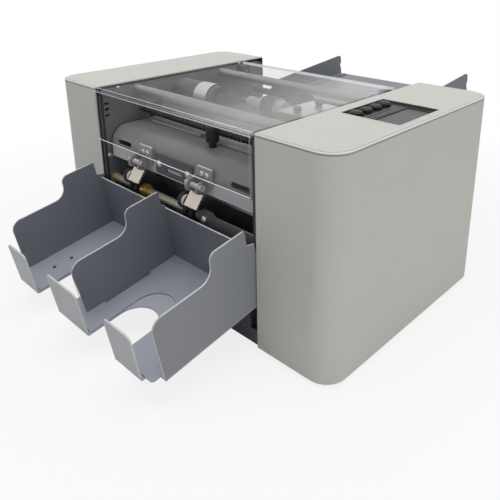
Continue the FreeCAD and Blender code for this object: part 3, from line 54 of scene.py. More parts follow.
# %% [markdown]
# ## The camera
# A desk machine is looked at by someone who stands in front of its right corner. The camera's three
# directions are the columns of its matrix, which leaves no doubt about roll. The lens is close to a
# normal one for the width of the sensor, and a shift puts the object in the middle of a square frame.

# %% Place the camera
EYE = (0.40549, front_y - 0.28532, 0.32215)
TO_RIGHT = (0.72819, 0.68537, -0.00294)
TO_TOP = (-0.21172, 0.22903, 0.95012)
TO_BACK = (0.65186, -0.69124, 0.31188)
LENS, SHIFT = 40.919, (-0.050438, -0.217656)

camera_data = bpy.data.cameras.new("camera")
camera_data.sensor_width = 36.0
camera_data.lens = LENS
camera_data.shift_x, camera_data.shift_y = SHIFT
camera_data.clip_start, camera_data.clip_end = 0.01, 50.0
camera = bpy.data.objects.new("camera", camera_data)
bpy.context.scene.collection.objects.link(camera)
camera.matrix_world = Matrix([[TO_RIGHT[i], TO_TOP[i], TO_BACK[i], EYE[i]] for i in range(3)]
                             + [[0, 0, 0, 1]])
bpy.context.scene.camera = camera
print("camera", round(math.dist(EYE, (0, 0, 0.1)), 3), "m from the machine")

# %% [markdown]
# ## Shader maths as plain expressions
# A finish is a small program: this much colour where that mask is 1. Math nodes wired by hand hide
# the program, so `Wire` wraps one socket and turns + - * / < > on it into Math nodes, also with a
# plain number on the left. `Finish` holds one material, and its `add` makes every other node.

# %% A socket that does arithmetic
class Wire:
    """A value that varies over a surface. An expression on it adds Math nodes to its material."""

    def __init__(self, finish, socket):
        self.finish, self.socket = finish, socket

    def math(self, operation, *values):
        return self.finish.add("ShaderNodeMath", {"operation": operation}, *values)

    def __add__(self, other):
        return self.math("ADD", self, other)

    def __sub__(self, other):
        return self.math("SUBTRACT", self, other)

    def __rsub__(self, other):
        return self.math("SUBTRACT", other, self)

    def __mul__(self, other):
        return self.math("MULTIPLY", self, other)

    def __truediv__(self, other):
        return self.math("DIVIDE", self, other)

    def __gt__(self, other):
        return self.math("GREATER_THAN", self, other)

    def __lt__(self, other):
        return self.math("LESS_THAN", self, other)

    def __abs__(self):
        return self.math("ABSOLUTE", self)

    __radd__ = __add__
    __rmul__ = __mul__


# %% A material with one maker of nodes
def linear(color):
    """A colour picked as it looks on a screen (0 to 255), as the shader's linear light."""
    channel = np.array(color, float) / 255
    light = np.where(channel > 0.04045, ((channel + 0.055) / 1.055) ** 2.4, channel / 12.92)
    return (*light.tolist(), 1.0)


class Finish:
    """One material: a Principled shader with plain values, and the nodes that vary them."""

    def __init__(self, name, color, roughness=0.5, metallic=0.0, **plain):
        self.material = bpy.data.materials.new(name)
        self.material.use_nodes = True
        self.tree = self.material.node_tree
        self.shader = self.tree.nodes["Principled BSDF"]
        self.color = linear(color)
        settings = {"Base Color": self.color, "Roughness": roughness, "Metallic": metallic, **plain}
        for socket, value in settings.items():
            self.shader.inputs[socket].default_value = value
        texture = self.tree.nodes.new("ShaderNodeTexCoord")
        self.point = Wire(self, texture.outputs["Object"])

    def add(self, kind, settings, *values, out=0, **named):
        """A node of a kind, its settings first, then its sockets by place or by name."""
        made = self.tree.nodes.new(kind)
        for key, value in settings.items():
            setattr(made, key, value)
        for key, value in [*enumerate(values), *named.items()]:
            self.join(made.inputs[key.replace("_", " ") if isinstance(key, str) else key], value)
        return Wire(self, made.outputs[out])

    def join(self, socket, value):
        if isinstance(value, Wire):
            self.tree.links.new(value.socket, socket)
        else:
            socket.default_value = value

    def axis(self, letter):
        """One of the object's own coordinates, in metres."""
        return self.add("ShaderNodeSeparateXYZ", {}, self.point, out="XYZ".index(letter))

    def noise(self, size, detail=2.0, stretch=(1, 1, 1)):
        """Soft noise from 0 to 1 whose blobs are about size metres; stretch squeezes it per axis."""
        where = self.add("ShaderNodeMapping", {}, Vector=self.point, Scale=stretch)
        return self.add("ShaderNodeTexNoise", {}, Vector=where, Scale=1 / size, Detail=detail)

    def between(self, low, value, high):
        """1 where a wire lies between two numbers, else 0."""
        return (value > low) * (value < high)

    def mix(self, share, first, second):
        """A colour that goes from first to second as share goes from 0 to 1."""
        made = self.tree.nodes.new("ShaderNodeMix")
        made.data_type = "RGBA"
        for place, value in ((0, share), (6, first), (7, second)):
            self.join(made.inputs[place], value)
        return Wire(self, made.outputs[2])

    def vary(self, socket, value):
        self.join(self.shader.inputs[socket], value)
        return self

    def tint(self, share, color):
        """Lays another colour over what the surface has, as far as share goes."""
        base = self.shader.inputs["Base Color"]
        below = Wire(self, base.links[0].from_socket) if base.is_linked else self.color
        return self.vary("Base Color", self.mix(share, below, linear(color)))

    def relief(self, height, depth):
        """Raises the surface by height (0 to 1) times depth, in metres."""
        bump = self.add("ShaderNodeBump", {}, Strength=1.0, Distance=depth, Height=height)
        return self.vary("Normal", bump)


# %% [markdown]
# ## Paint, metal, rubber and plastic
# Sheet steel parts of such a machine are powder coated: the powder melts into a skin with a fine
# orange peel, with bumps a little over a millimetre apart, and handling leaves patches that are a
# little shinier. Turned steel keeps fine rings of tool marks, rolled sheet long fine scratches.
# Each kind is one function, so that all paints share their grain and differ only in colour.

# %% Kinds of finish
def powder_coat(name, color, roughness=0.42, peel=0.00006, grain=0.0013):
    """Paint with orange peel: noise of about a millimetre raises it, wide noise changes its gloss."""
    finish = Finish(name, color, roughness)
    cloud = finish.noise(0.05, 3)
    finish.tint(cloud * 0.12, [0.86 * channel for channel in color])
    finish.vary("Roughness", finish.noise(0.03, 4) * 0.16 + (roughness - 0.08))
    return finish.relief(finish.noise(grain, 2), peel)


def worked_metal(name, color, roughness, stretch, depth=0.00001, metallic=1.0):
    """Bare metal with fine scratches, which stretch draws out along the way it was worked."""
    finish = Finish(name, color, roughness, metallic)
    scratch = finish.noise(0.0012, 4, stretch)
    finish.tint(finish.noise(0.012, 3) * 0.35, [0.72 * channel for channel in color])
    finish.vary("Roughness", scratch * 0.22 + (roughness - 0.1))
    return finish.relief(scratch, depth)


def moulded(name, color, roughness=0.5, grain=0.0006, depth=0.00002):
    """Moulded plastic or rubber with the fine spark-eroded grain of its mould."""
    finish = Finish(name, color, roughness)
    finish.tint(finish.noise(0.02, 3) * 0.2, [min(255, 12 + 1.1 * channel) for channel in color])
    finish.vary("Roughness", finish.noise(0.008, 3) * 0.15 + (roughness - 0.07))
    return finish.relief(finish.noise(grain, 1), depth)


def dress(finish, *names):
    """Gives sub-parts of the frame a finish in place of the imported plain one."""
    for name in names:
        mesh = nodes[name].data
        mesh.materials.clear()
        mesh.materials.append(finish.material)
    print(finish.material.name, "on", ", ".join(names))


ALONG_X, ALONG_Z, ROUND_X = (0.04, 1, 1), (1, 1, 0.04), (1, 0.05, 0.05)

# %% [markdown]
# ## Painted sheet metal
# The two covers are a warm light grey. The card tray is a cooler, darker blue-grey, and the frames are
# a little darker than the tray and end in a dark strip at their front edge. The base pan is darker
# still. A cover's rounded top edge carries a painted highlight, a light line, with a fine line of
# painted shade just under the rounding and a second one where the flat top begins. The walls of the
# window in the right cover are painted black, as painted shade, and the inside of the covers is
# painted dark grey, also as painted shade. A point is inside the shell where it lies deeper than half
# the wall behind every outer face, and out of the rounded corners, whose outer skin lies as deep.

# %% Paint the sheet metal
def behind(distance):
    """Y in metres of something that lies a distance in millimetres behind the covers' front."""
    return front_y + distance / 1000


cover_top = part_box("cover_right")[1].z
WINDOW_X, WINDOW_Y = (0.127, 0.184), (behind(91.05), behind(155.55))
COVER_GREY, WINDOW_RIM = (203, 206, 198), 0.0002
# Each line round the top, two of painted shade and one of painted highlight: its lower and upper
# edge under the top in metres, its strength and colour.
PAINTED_TOP_LINES = ((0.0003, 0.00005, 0.7, (118, 120, 115)), (0.0012, 0.0003, 0.8, (250, 251, 248)),
             (0.0029, 0.0017, 0.6, (88, 90, 86)))
cover_paint = powder_coat("cover_paint", COVER_GREY, 0.45)
x, y, z = (cover_paint.axis(letter) for letter in "XYZ")
for lower, upper, strength, color in PAINTED_TOP_LINES:
    cover_paint.tint(cover_paint.between(cover_top - lower, z, cover_top - upper) * strength, color)
# The walls of the panel's window are painted dark: painted shade.
shaded_window_walls = (cover_paint.between(WINDOW_X[0] - WINDOW_RIM, x, WINDOW_X[1] + WINDOW_RIM)
             * cover_paint.between(WINDOW_Y[0] - WINDOW_RIM, y, WINDOW_Y[1] + WINDOW_RIM)
             * cover_paint.between(cover_top - 0.003, z, cover_top - 0.0001))
cover_paint.tint(shaded_window_walls * 0.9, (40, 40, 41))
# The inside of the shell is painted dark grey: painted shade.
HALF_WALL, CORNER = 0.001, 0.020
cover_low, cover_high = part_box("cover_right")
clear_of_corners = cover_paint.add(
    "ShaderNodeClamp", {}, (abs(x) < cover_high.x - CORNER)
    + cover_paint.between(cover_low.y + CORNER, y, cover_high.y - CORNER))
shaded_inside = ((abs(x) < cover_high.x - HALF_WALL) * (z < cover_top - HALF_WALL) * clear_of_corners
          * cover_paint.between(cover_low.y + HALF_WALL, y, cover_high.y - HALF_WALL))
cover_paint.tint(shaded_inside * (1 - shaded_window_walls), (46, 47, 49))
frame_paint = powder_coat("frame_paint", (112, 114, 117), 0.38)
frame_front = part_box("side_frame_left")[0].y
frame_paint.tint((frame_paint.axis("Y") < frame_front + 0.003) * 0.9, (38, 38, 40))
dark_paint = powder_coat("dark_paint", (82, 83, 88), 0.42)
dress(cover_paint, "cover_left", "cover_right")
dress(frame_paint, "side_frame_left", "side_frame_right", "paper_table")
dress(dark_paint, "base_pan", "shaft_support", "knife_face_plate")

# %% [markdown]
# The knife cover is a warm grey. Its lower lip is painted a lighter band, as painted light from the
# front, that ends in a painted highlight along its lower edge. Each end of the cover is painted black
# over its last few millimetres, beside the side frame. The two plates on top of it and the brackets
# on its front are separate sheets. Each has a cooler tone of its own and a bright edge, a painted
# highlight, and a painted shadow runs before each plate, so that they read as pieces laid on the
# cover.

# %% Paint the knife cover and the plates on it
LIP_LIGHT_BAND, LIP_HIGHLIGHT_EDGE, END_BAND, EDGE_HIGHLIGHT_WIDTH = 0.0112, 0.0008, 0.0036, 0.0003
hood_low, hood_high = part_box("knife_cover")
hood_paint = powder_coat("hood_paint", (130, 129, 127), 0.34)
x, y, z = (hood_paint.axis(letter) for letter in "XYZ")
# Painted light: the lower lip is lighter, and its lower edge carries a painted highlight.
hood_paint.tint((z < hood_low.z + LIP_LIGHT_BAND) * 0.85, (196, 197, 202))
hood_paint.tint((z < hood_low.z + LIP_HIGHLIGHT_EDGE) * 0.8, (232, 233, 234))
# Each end is painted black over its last few millimetres.
hood_paint.tint((abs(x) > hood_high.x - END_BAND) * 0.95, (18, 18, 19))
# A painted shadow along the front of each plate, on the cover under and before it.
for side in ("left", "right"):
    low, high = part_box(f"knife_lid_{side}")
    plate_shadow = (hood_paint.between(low.y - 0.0013, y, low.y + 0.0005) * (z > hood_high.z - 0.001)
             * hood_paint.between(low.x - 0.001, x, high.x + 0.001))
    hood_paint.tint(plate_shadow * 0.9, (24, 24, 25))
dress(hood_paint, "knife_cover")
# Each plate's edges carry a painted highlight.
for side in ("left", "right"):
    low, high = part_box(f"knife_lid_{side}")
    plate_paint = powder_coat(f"plate_paint_{side}", (128, 131, 140), 0.36)
    edge_highlight = 1 - (plate_paint.between(low.x + EDGE_HIGHLIGHT_WIDTH, plate_paint.axis("X"), high.x - EDGE_HIGHLIGHT_WIDTH)
                    * plate_paint.between(low.y + EDGE_HIGHLIGHT_WIDTH, plate_paint.axis("Y"), high.y - EDGE_HIGHLIGHT_WIDTH))
    plate_paint.tint(edge_highlight * 0.7, (206, 208, 214))
    dress(plate_paint, f"knife_lid_{side}")
bracket_zinc = Finish("bracket_zinc", (158, 160, 160), 0.42, 0.35)
bracket_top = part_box("pinch_brackets")[1].z
# The bracket's top edge carries a painted highlight.
edge_highlight = (bracket_zinc.axis("Z") > bracket_top - 0.0004) * 0.8
bracket_zinc.tint(bracket_zinc.noise(0.01, 3) * 0.25, (128, 129, 128)).tint(edge_highlight, (236, 236, 232))
bracket_zinc.vary("Roughness", bracket_zinc.noise(0.004, 3) * 0.2 + 0.32)
bracket_zinc.relief(bracket_zinc.noise(0.0008, 3, (0.1, 1, 1)), 0.00001)
dress(bracket_zinc, "pinch_brackets")

# %% [markdown]
# The card tray slopes, so its own depth and height are worked out from Y and Z by one turn of ten
# degrees. Its floor is painted paler than the walls, as painted light from above. The outer face of
# its right wall is painted a lighter, less blue grey than the inner ones, as painted light from the
# right, and the stop plate is painted a light grey, as painted light on its lips.

# %% Paint the trays
SLOPE = math.radians(10)
TRAY_Y, TRAY_Z = front_y + 0.006, 0.045


def tray_finish(name, color, floor_light):
    """Tray paint, paler where the height over the sloping floor is nearly nothing: painted light from
    above.
    """
    finish = powder_coat(name, color, 0.40)
    height = ((finish.axis("Z") - TRAY_Z) * math.cos(SLOPE)
              - (finish.axis("Y") - TRAY_Y) * math.sin(SLOPE))
    patches = finish.noise(0.04, 3) * 0.3 + 0.65
    return finish.tint(finish.between(-0.0018, height, 0.0003) * patches, floor_light)


TRAY_GREY = (122, 125, 134)
tray_paint = tray_finish("tray_paint", TRAY_GREY, (172, 175, 187))
# The right wall's outer face is painted lighter: painted light from the right.
lit_outer_face = tray_paint.axis("X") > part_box("output_tray")[1].x - 0.0002
tray_paint.tint(lit_outer_face * 0.7, (150, 152, 156))
# The stop plate is a light grey, lighter than the tray: painted light on its lips.
lit_stop_paint = tray_finish("lit_stop_paint", (184, 186, 190), (176, 178, 188))
guide_paint = powder_coat("guide_paint", TRAY_GREY, 0.40)
# A light grey for the painted highlights on the tray's edges.
highlight_edge_paint = powder_coat("highlight_edge_paint", (214, 215, 218), 0.45)
dress(tray_paint, "output_tray", "tray_divider")
dress(lit_stop_paint, "tray_stop_plate")
dress(guide_paint, "guide_left", "guide_right", "rear_tray")

# %% [markdown]
# ## Bare metal
# Shafts are ground round and long, so their marks run round them. Blades, the knife bed and the beam
# were ground along their length. The arms of the pinch rollers are warm nickel plate, and the screws
# are bright zinc. The exit shaft is a matt steel with an oily, slightly green cast: it would be
# black if it only mirrored the dark machine, so its Metallic is well under 1.

# %% Finish the bare metal
round_steel = worked_metal("round_steel", (176, 174, 170), 0.28, ROUND_X)
matt_steel = worked_metal("matt_steel", (184, 184, 168), 0.46, ROUND_X, metallic=0.25)
long_steel = worked_metal("long_steel", (168, 168, 168), 0.32, ALONG_X)
nickel = worked_metal("nickel", (206, 199, 189), 0.26, ALONG_Z, metallic=0.8)
bright_zinc = worked_metal("bright_zinc", (222, 223, 224), 0.24, ALONG_Z, metallic=0.7)
drawn_aluminium = worked_metal("drawn_aluminium", (208, 209, 210), 0.34, ALONG_X, metallic=0.7)
turned_brass = worked_metal("turned_brass", (226, 184, 96), 0.32, ROUND_X, metallic=0.6)
dress(matt_steel, "exit_shaft")
dress(round_steel, "slitter_shaft_upper", "slitter_shaft_lower", "feed_shaft",
      "knife_crankshaft", "lid_hinge_pins", "pinch_springs")
dress(long_steel, "knife_beam", "upper_blade", "lower_blade", "knife_bed",
      "slitter_blades_upper", "slitter_blades_lower")
dress(nickel, "pinch_arm_left", "pinch_arm_right")
dress(bright_zinc, "pinch_pivots", "machine_screws")
rod_steel = worked_metal("rod_steel", (158, 157, 153), 0.34, ALONG_X, metallic=0.7)
dress(rod_steel, "tie_rods")
dress(drawn_aluminium, "feed_bracket")
dress(turned_brass, "exit_collar", "shaft_bushes")

# %% [markdown]
# ## Rubber and plastic
# The exit wheels and feed rollers are black rubber on steel, the pinch rollers white plastic. The
# motor is a black can with one bright band, and the feed spindle carries pale plastic hubs beside
# its rubber, so these two read the X coordinate to change finish along the axis.

# %% Finish rubber and plastic
black_rubber = moulded("black_rubber", (34, 34, 35), 0.72, 0.0008)
black_plastic = moulded("black_plastic", (32, 32, 34), 0.45)
white_plastic = moulded("white_plastic", (214, 213, 207), 0.35)
dress(black_rubber, "rubber_feet", "exit_wheels", "pickup_roller")
dress(black_plastic, "lid_hinge_blocks", "ribbed_conduit", "power_inlet", "adjust_knob",
      "thumb_screw_front", "thumb_screw_rear", "power_switch")
dress(white_plastic, "pinch_roller_left", "pinch_roller_right")
button_plastic = moulded("button_plastic", (20, 20, 21), 0.42)
button_plastic.shader.inputs["Specular IOR Level"].default_value = 0.3
dress(button_plastic, "button_1", "button_2", "button_3", "button_4")
board_green = moulded("board_green", (34, 92, 52), 0.4)
dress(board_green, "circuit_board")

# %% Finish the motor and the feed rollers by their X coordinate
BAND_X, RUBBER_X = (-0.070, -0.050), (-0.042, -0.022)
motor_black = moulded("motor_black", (70, 70, 72), 0.4)
band = motor_black.between(BAND_X[0], motor_black.axis("X"), BAND_X[1])
motor_black.tint(band, (205, 205, 203)).vary("Metallic", band)
dress(motor_black, "drive_motor")
feed_rubber = moulded("feed_rubber", (52, 52, 54), 0.6)
hub = 1 - feed_rubber.between(RUBBER_X[0], feed_rubber.axis("X"), RUBBER_X[1])
feed_rubber.tint(hub, (206, 205, 200))
dress(feed_rubber, "feed_rollers")

# %% [markdown]
# ## The control panel
# The panel is one moulded plate behind a window of the right cover. Its display area is a smoked
# window, a little lighter than the frame round it. Two fine light grey rules run along the buttons,
# between them and the display, as printed films of this kind have. There is no lettering.

# %% Finish the control panel
RULES_X, RULES_Y = ((0.1458, 0.1463), (0.1510, 0.1513)), (behind(97), behind(149))
DISPLAY_X = (0.1565, 0.180)
panel_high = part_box("control_panel")[1]
panel_film = Finish("panel_film", (44, 42, 44), 0.42, **{"Specular IOR Level": 0.25})
panel_film.vary("Roughness", panel_film.noise(0.02, 3) * 0.1 + 0.38)
panel_film.relief(panel_film.noise(0.0015, 2), 0.00001)
x, y, z = (panel_film.axis(letter) for letter in "XYZ")
near_buttons, near_display = (panel_film.between(low, x, high) for low, high in RULES_X)
rules = (near_buttons + near_display) * panel_film.between(RULES_Y[0], y, RULES_Y[1])
panel_film.tint(rules * 0.8, (206, 206, 207))
display = panel_film.between(DISPLAY_X[0], x, DISPLAY_X[1]) * (z < panel_high.z - 0.0005)
panel_film.tint(display, (86, 88, 87))
dress(panel_film, "control_panel")

# %% [markdown]
# ## The clear lid
# Clear acrylic is nearly invisible where it is looked straight through and mirrors the room at a low
# angle. Its sawn edges are painted as bright lines, a painted highlight. A Mix Shader joins a
# Transparent shader with a mirror skin. Its factor rises with (1 - cos)^5, as Schlick's rule says,
# with 1 - cos from Layer Weight, which also holds on the inside of the sheet. It rises to a third
# only, because a Metallic skin already mirrors more at a low angle by itself. A thin haze is added,
# and a whiter painted sheen over the right half of the top, and the factor goes to almost 1 on the
# edges and on the lines beside the bend, which comparisons on the object's coordinates find. The
# sawn edges also glow a little by themselves, a painted glow. The skin is kept a little soft, because
# a sharp mirror shows as bright speckle from above.
#
# The sheet is bent at the front, and a fine painted highlight lies at each side of the bend. Seen
# from the bend's own axis, how far round a point lies is the ratio of its height to its depth.

# %% Make the lid clear
lid_low, lid_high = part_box("acrylic_lid")
EDGE, BEND, SHEET = 0.0003, 0.005, 0.0031
acrylic = Finish("clear_acrylic", (104, 104, 101), 0.12)
x, y, z = (acrylic.axis(letter) for letter in "XYZ")
in_front = y < lid_low.y + 0.0012
sawn = acrylic.add("ShaderNodeClamp", {}, (z < lid_low.z + EDGE) * in_front
                   + (y > lid_high.y - EDGE) + (abs(x) > lid_high.x - EDGE) * (in_front * 0.3 + 0.1))
height, depth = z - (lid_high.z - BEND), (lid_low.y + BEND) - y
round_bend = height / depth
# Painted highlights beside the bend.
bend_highlights = (acrylic.between(0.30, round_bend, 0.55) + acrylic.between(2.6, round_bend, 9.0)) \
    * (height > 0) * (depth > 0)
slant = acrylic.add("ShaderNodeLayerWeight", {}, 0.5, out=1)
mirror = acrylic.add("ShaderNodeMath", {"operation": "POWER"}, slant, 5.0) * 0.34 + 0.015
# A whiter painted sheen over the right half of the top, added to a faint haze.
right_half_sheen = acrylic.add("ShaderNodeClamp", {}, (x + 0.05) * 8) * (z > lid_high.z - SHEET)
haze_and_sheen = acrylic.noise(0.06, 3) * 0.02 + right_half_sheen * 0.18
# Painted highlights: the sawn edges and the lines beside the bend.
highlight_lines = acrylic.add("ShaderNodeClamp", {}, sawn * 0.85 + bend_highlights * 0.6)
share = (haze_and_sheen + mirror) * (1 - highlight_lines) + highlight_lines
acrylic.tint(right_half_sheen * 0.8, (224, 224, 222)).tint(highlight_lines, (238, 241, 241))
# The sawn edges glow a little: a painted glow.
acrylic.shader.inputs["Emission Strength"].default_value = 0.35
acrylic.vary("Emission Color", acrylic.mix(sawn, (0, 0, 0, 1), (1, 1, 1, 1)))
seen = acrylic.tree.nodes.new("ShaderNodeMixShader")
through = acrylic.tree.nodes.new("ShaderNodeBsdfTransparent")
acrylic.tree.links.new(share.socket, seen.inputs[0])
acrylic.tree.links.new(through.outputs[0], seen.inputs[1])
acrylic.tree.links.new(acrylic.shader.outputs[0], seen.inputs[2])
acrylic.tree.links.new(seen.outputs[0], acrylic.tree.nodes["Material Output"].inputs[0])
acrylic.vary("Roughness", highlight_lines * 0.4 + 0.12).vary("Metallic", 1 - highlight_lines)
dress(acrylic, "acrylic_lid")

# %% [markdown]
# ## Small pieces as surfaces
# Screws, springs and knobs are all a curve carried round or along something. `turned` carries a
# profile round an axis and `carried` carries a ring along a path. Both give a grid of points, and
# `piece` joins grids into one mesh, closes seams and poles by merging doubles, turns the faces
# outwards and sets the piece on its body with its finish.

# %% Grids of points and the pieces made of them
AXES = {"x": ((0, 1, 0), (0, 0, 1), (1, 0, 0)), "-x": ((0, 0, 1), (0, 1, 0), (-1, 0, 0)),
        "-y": ((1, 0, 0), (0, 0, 1), (0, -1, 0)), "z": ((1, 0, 0), (0, 1, 0), (0, 0, 1)),
        "tray": ((1, 0, 0), (0, math.cos(SLOPE), math.sin(SLOPE)),
                 (0, -math.sin(SLOPE), math.cos(SLOPE)))}


def ring_angles(sides):
    return np.linspace(0, 2 * math.pi, sides, endpoint=False)


def turned(profile, sides, at, axis="z", swell=None):
    """Rows of (height, radius) in mm, each a circle round the axis: at + height w + radius (cos u +
    sin v). swell(angle, height) multiplies the radius, for lobes and knurls."""
    height, radius = np.array(profile, float).T[:, :, None] / 1000
    angle = ring_angles(sides)[None, :]
    if swell is not None:
        radius = radius * swell(angle, height * 1000)
    u, v, w = (np.array(direction, float) for direction in AXES[axis])
    return (np.array(at, float) + height[..., None] * w
            + (radius * np.cos(angle))[..., None] * u + (radius * np.sin(angle))[..., None] * v)


def carried(path, radius, sides, reference, closed=False, flat=1.0):
    """A ring carried along a path in metres: point + radius (cos n + flat sin b), where n is the
    reference made square to the path's direction and b is square to both."""
    path = np.array(path, float)
    ahead = np.roll(path, -1, 0) - np.roll(path, 1, 0) if closed else np.gradient(path, axis=0)
    ahead /= np.linalg.norm(ahead, axis=1, keepdims=True)
    reference = np.array(reference, float)
    n = reference - ahead * (ahead @ reference)[:, None]
    n /= np.linalg.norm(n, axis=1, keepdims=True)
    b = np.cross(ahead, n)
    angle = ring_angles(sides)
    ring = np.cos(angle)[None, :, None] * n[:, None] + flat * np.sin(angle)[None, :, None] * b[:, None]
    radius = np.broadcast_to(np.array(radius, float), (len(path),))[:, None, None]
    grid = path[:, None] + radius * ring
    ends = (grid[:1],) if closed else (path[-1:, None] + 0 * ring[-1:],)
    first = () if closed else (path[:1, None] + 0 * ring[:1],)
    return np.concatenate([*first, grid, *ends])


def piece(name, body, slot, finish, grids, *stands_for):
    """One object from grids of points (rows, columns, 3) whose columns close round."""
    points, faces, start = [], [], 0
    for grid in grids:
        rows, columns = grid.shape[:2]
        row, column = np.meshgrid(np.arange(rows - 1), np.arange(columns), indexing="ij")
        after = (column + 1) % columns
        quads = np.stack([row * columns + column, row * columns + after,
                          (row + 1) * columns + after, (row + 1) * columns + column], -1)
        points.append(grid.reshape(-1, 3))
        faces.append(quads.reshape(-1, 4) + start)
        start += rows * columns
    mesh = bpy.data.meshes.new(name)
    mesh.from_pydata(np.concatenate(points).tolist(), [], np.concatenate(faces).tolist())
    work = bmesh.new()
    work.from_mesh(mesh)
    bmesh.ops.remove_doubles(work, verts=work.verts, dist=1e-7)
    bmesh.ops.recalc_face_normals(work, faces=work.faces)
    work.to_mesh(mesh)
    work.free()
    mesh.shade_smooth()
    mesh.set_sharp_from_angle(angle=math.radians(38))
    made = bpy.data.objects.new(name, mesh)
    bpy.context.scene.collection.objects.link(made)
    mesh.materials.append(finish.material)
    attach(made, body)
    if stands_for:
        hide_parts(*stands_for)
    print(name, "on", body, len(mesh.polygons), "faces")

# %% [markdown]
# ## Cross-recess screws
# A pan head is a low dome over a short upright rim, with two crossed slots sunk in its middle. The
# head is a grid in polar coordinates: the height falls with the radius, and the recess is taken off
# where a point lies within a slot's half width on one axis and its half length on the other.

# %% Fit the screws
ARM_HALF, ARM_REACH = 0.11, 0.60


def screw_head(at, radius=2.6, high=1.7, axis="z"):
    """height = high (1 - 0.45 (r/R)^2.6) - depth * slot, where slot goes from 0 to 1 over 0.05 R at the
    edge of a cross whose arms are 0.22 R wide and reach 0.6 R from the middle, where it is deepest.
    Below the rim a shank goes down to close the head."""
    share = np.concatenate([np.linspace(0, 0.7, 15), np.linspace(0.78, 1, 5)])
    angle = ring_angles(40)
    r, a = np.meshgrid(share, angle, indexing="ij")
    x, y = np.abs(r * np.cos(a)), np.abs(r * np.sin(a))

    def within(value, limit):
        return np.clip((limit - value) / 0.05 + 0.5, 0, 1)

    slot = np.maximum(within(x, ARM_HALF) * within(y, ARM_REACH),
                      within(y, ARM_HALF) * within(x, ARM_REACH))
    height = high * (1 - 0.45 * r ** 2.6) - 0.5 * high * slot * (1 - 0.5 * r)
    u, v, w = (np.array(direction, float) for direction in AXES[axis])
    scale = radius / 1000
    top = (np.array(at, float) + (height / 1000)[..., None] * w
           + (scale * r * np.cos(a))[..., None] * u + (scale * r * np.sin(a))[..., None] * v)
    under = turned([(0.12 * high, radius), (-0.1, radius), (-0.1, radius * 0.5), (-1.2, radius * 0.5),
                    (-1.2, 0)], 40, at, axis)
    return np.concatenate([top, under])


def slope_point(x, depth, height):
    """A place on the card tray, from millimetres across, along its floor and over it."""
    base = np.array([x / 1000, TRAY_Y, TRAY_Z])
    return base + np.array(AXES["tray"][1]) * depth / 1000 + np.array(AXES["tray"][2]) * height / 1000


heads = [screw_head((x / 1000, behind(d), 0.1555)) for x, d in ((-78, 72), (-60, 70), (-46, 70),
                                                               (52, 60), (88, 60))]
WASHER = [(-0.1, 0), (-0.1, 3.6), (0.35, 3.6), (0.45, 3.5), (0.45, 0)]
for x in (-22, 21):
    heads.append(turned(WASHER, 40, (x / 1000, behind(7.5), 0.134), "-y"))
    heads.append(screw_head((x / 1000, behind(7.1), 0.134), axis="-y"))
heads += [screw_head((x / 1000, behind(7), 0.141), 2.5, 1.7, "-y") for x in (-46, -39, 42, 49)]
heads += [screw_head((0.0485, behind(2), 0.101), 3.0, 1.9, "-y")]
piece("pan_head_screws", "machine", "bright_steel", bright_zinc, heads, "machine_screws")
piece("frame_screws", "machine", "bright_steel", bright_zinc,
      [screw_head((sign * 0.110, behind(6.8), 0.1215), 2.6, 1.6, "x" if sign < 0 else "-x")
       for sign in (-1, 1)])
piece("lid_screws", "lid", "bright_steel", bright_zinc,
      [screw_head((x / 1000, behind(d), lid_high.z), 1.8, 0.9) for x, d in ((-98, 16.5), (-105.5, 192),
                                                                          (108.5, 165))])
piece("tray_screws", "machine", "dark_paint", black_plastic,
      [screw_head(slope_point(x, d, 0), 1.7, 1.1, "tray") for x, d in ((-91, -83), (-90, -65),
                                                                      (91, -83), (90, -65))])

# %% [markdown]
# ## Painted highlights on the cut edges
# The walls and lips of the card tray end in a fine light line, a painted highlight along their cut
# edges. It is laid on as a ribbon: a ring squashed to the width of the sheet is carried along
# the edge, and stands a tenth of a millimetre proud. The edge itself is a line of corners, some of
# them rounded by an arc that touches both sides.

# %% Lay the painted highlights on the card tray's edges
# In millimetres. WALL_MIDDLE is where the middle of an outer wall's sheet lies across the tray,
# LIP_DEPTH and PLATE_DEPTH where those of the lips and of the rear plate lie along its floor, and
# LIPS_LEFT is how far the lips sit to the left.
WALL_MIDDLE, LIP_DEPTH, LIPS_LEFT = 113.25, -111.25, 3.3
PLATE_DEPTH, PLATE_HALF, PLATE_TOP = -0.75, 112.4, 55
LIPS = ((-101, -66.4), (-24.4, 24.4), (66.4, 101))


def rounded(corners, steps=7):
    """Points (a, b) of a line of corners (a, b, radius): at a corner the arc starts a length
    radius * tan(half the turn) before it and ends as far after it."""
    corners = np.array(corners, float)
    line = [corners[0, :2]]
    for before, (a, b, radius), after in zip(corners[:-2], corners[1:-1], corners[2:]):
        spot = np.array([a, b])
        into = (spot - before[:2]) / np.linalg.norm(spot - before[:2])
        out = (after[:2] - spot) / np.linalg.norm(after[:2] - spot)
        turn = math.acos(float(np.clip(into @ out, -1, 1)))
        back = radius * math.tan(turn / 2)
        side = (out - into) / np.linalg.norm(out - into)
        centre = spot + side * radius / math.cos(turn / 2)
        start = spot - into * back - centre
        sense = np.sign(into[0] * out[1] - into[1] * out[0])
        angle = sense * np.linspace(0, turn, steps)
        line += list(centre + np.column_stack([start[0] * np.cos(angle) - start[1] * np.sin(angle),
                                               start[0] * np.sin(angle) + start[1] * np.cos(angle)]))
    return np.array([*line, corners[-1, :2]])


def ribbon(path, across):
    """A flat ring a little narrower than the 1.5 mm sheet, so that it stays within its faces."""
    return carried(path, 0.00073, 8, across, flat=0.12)


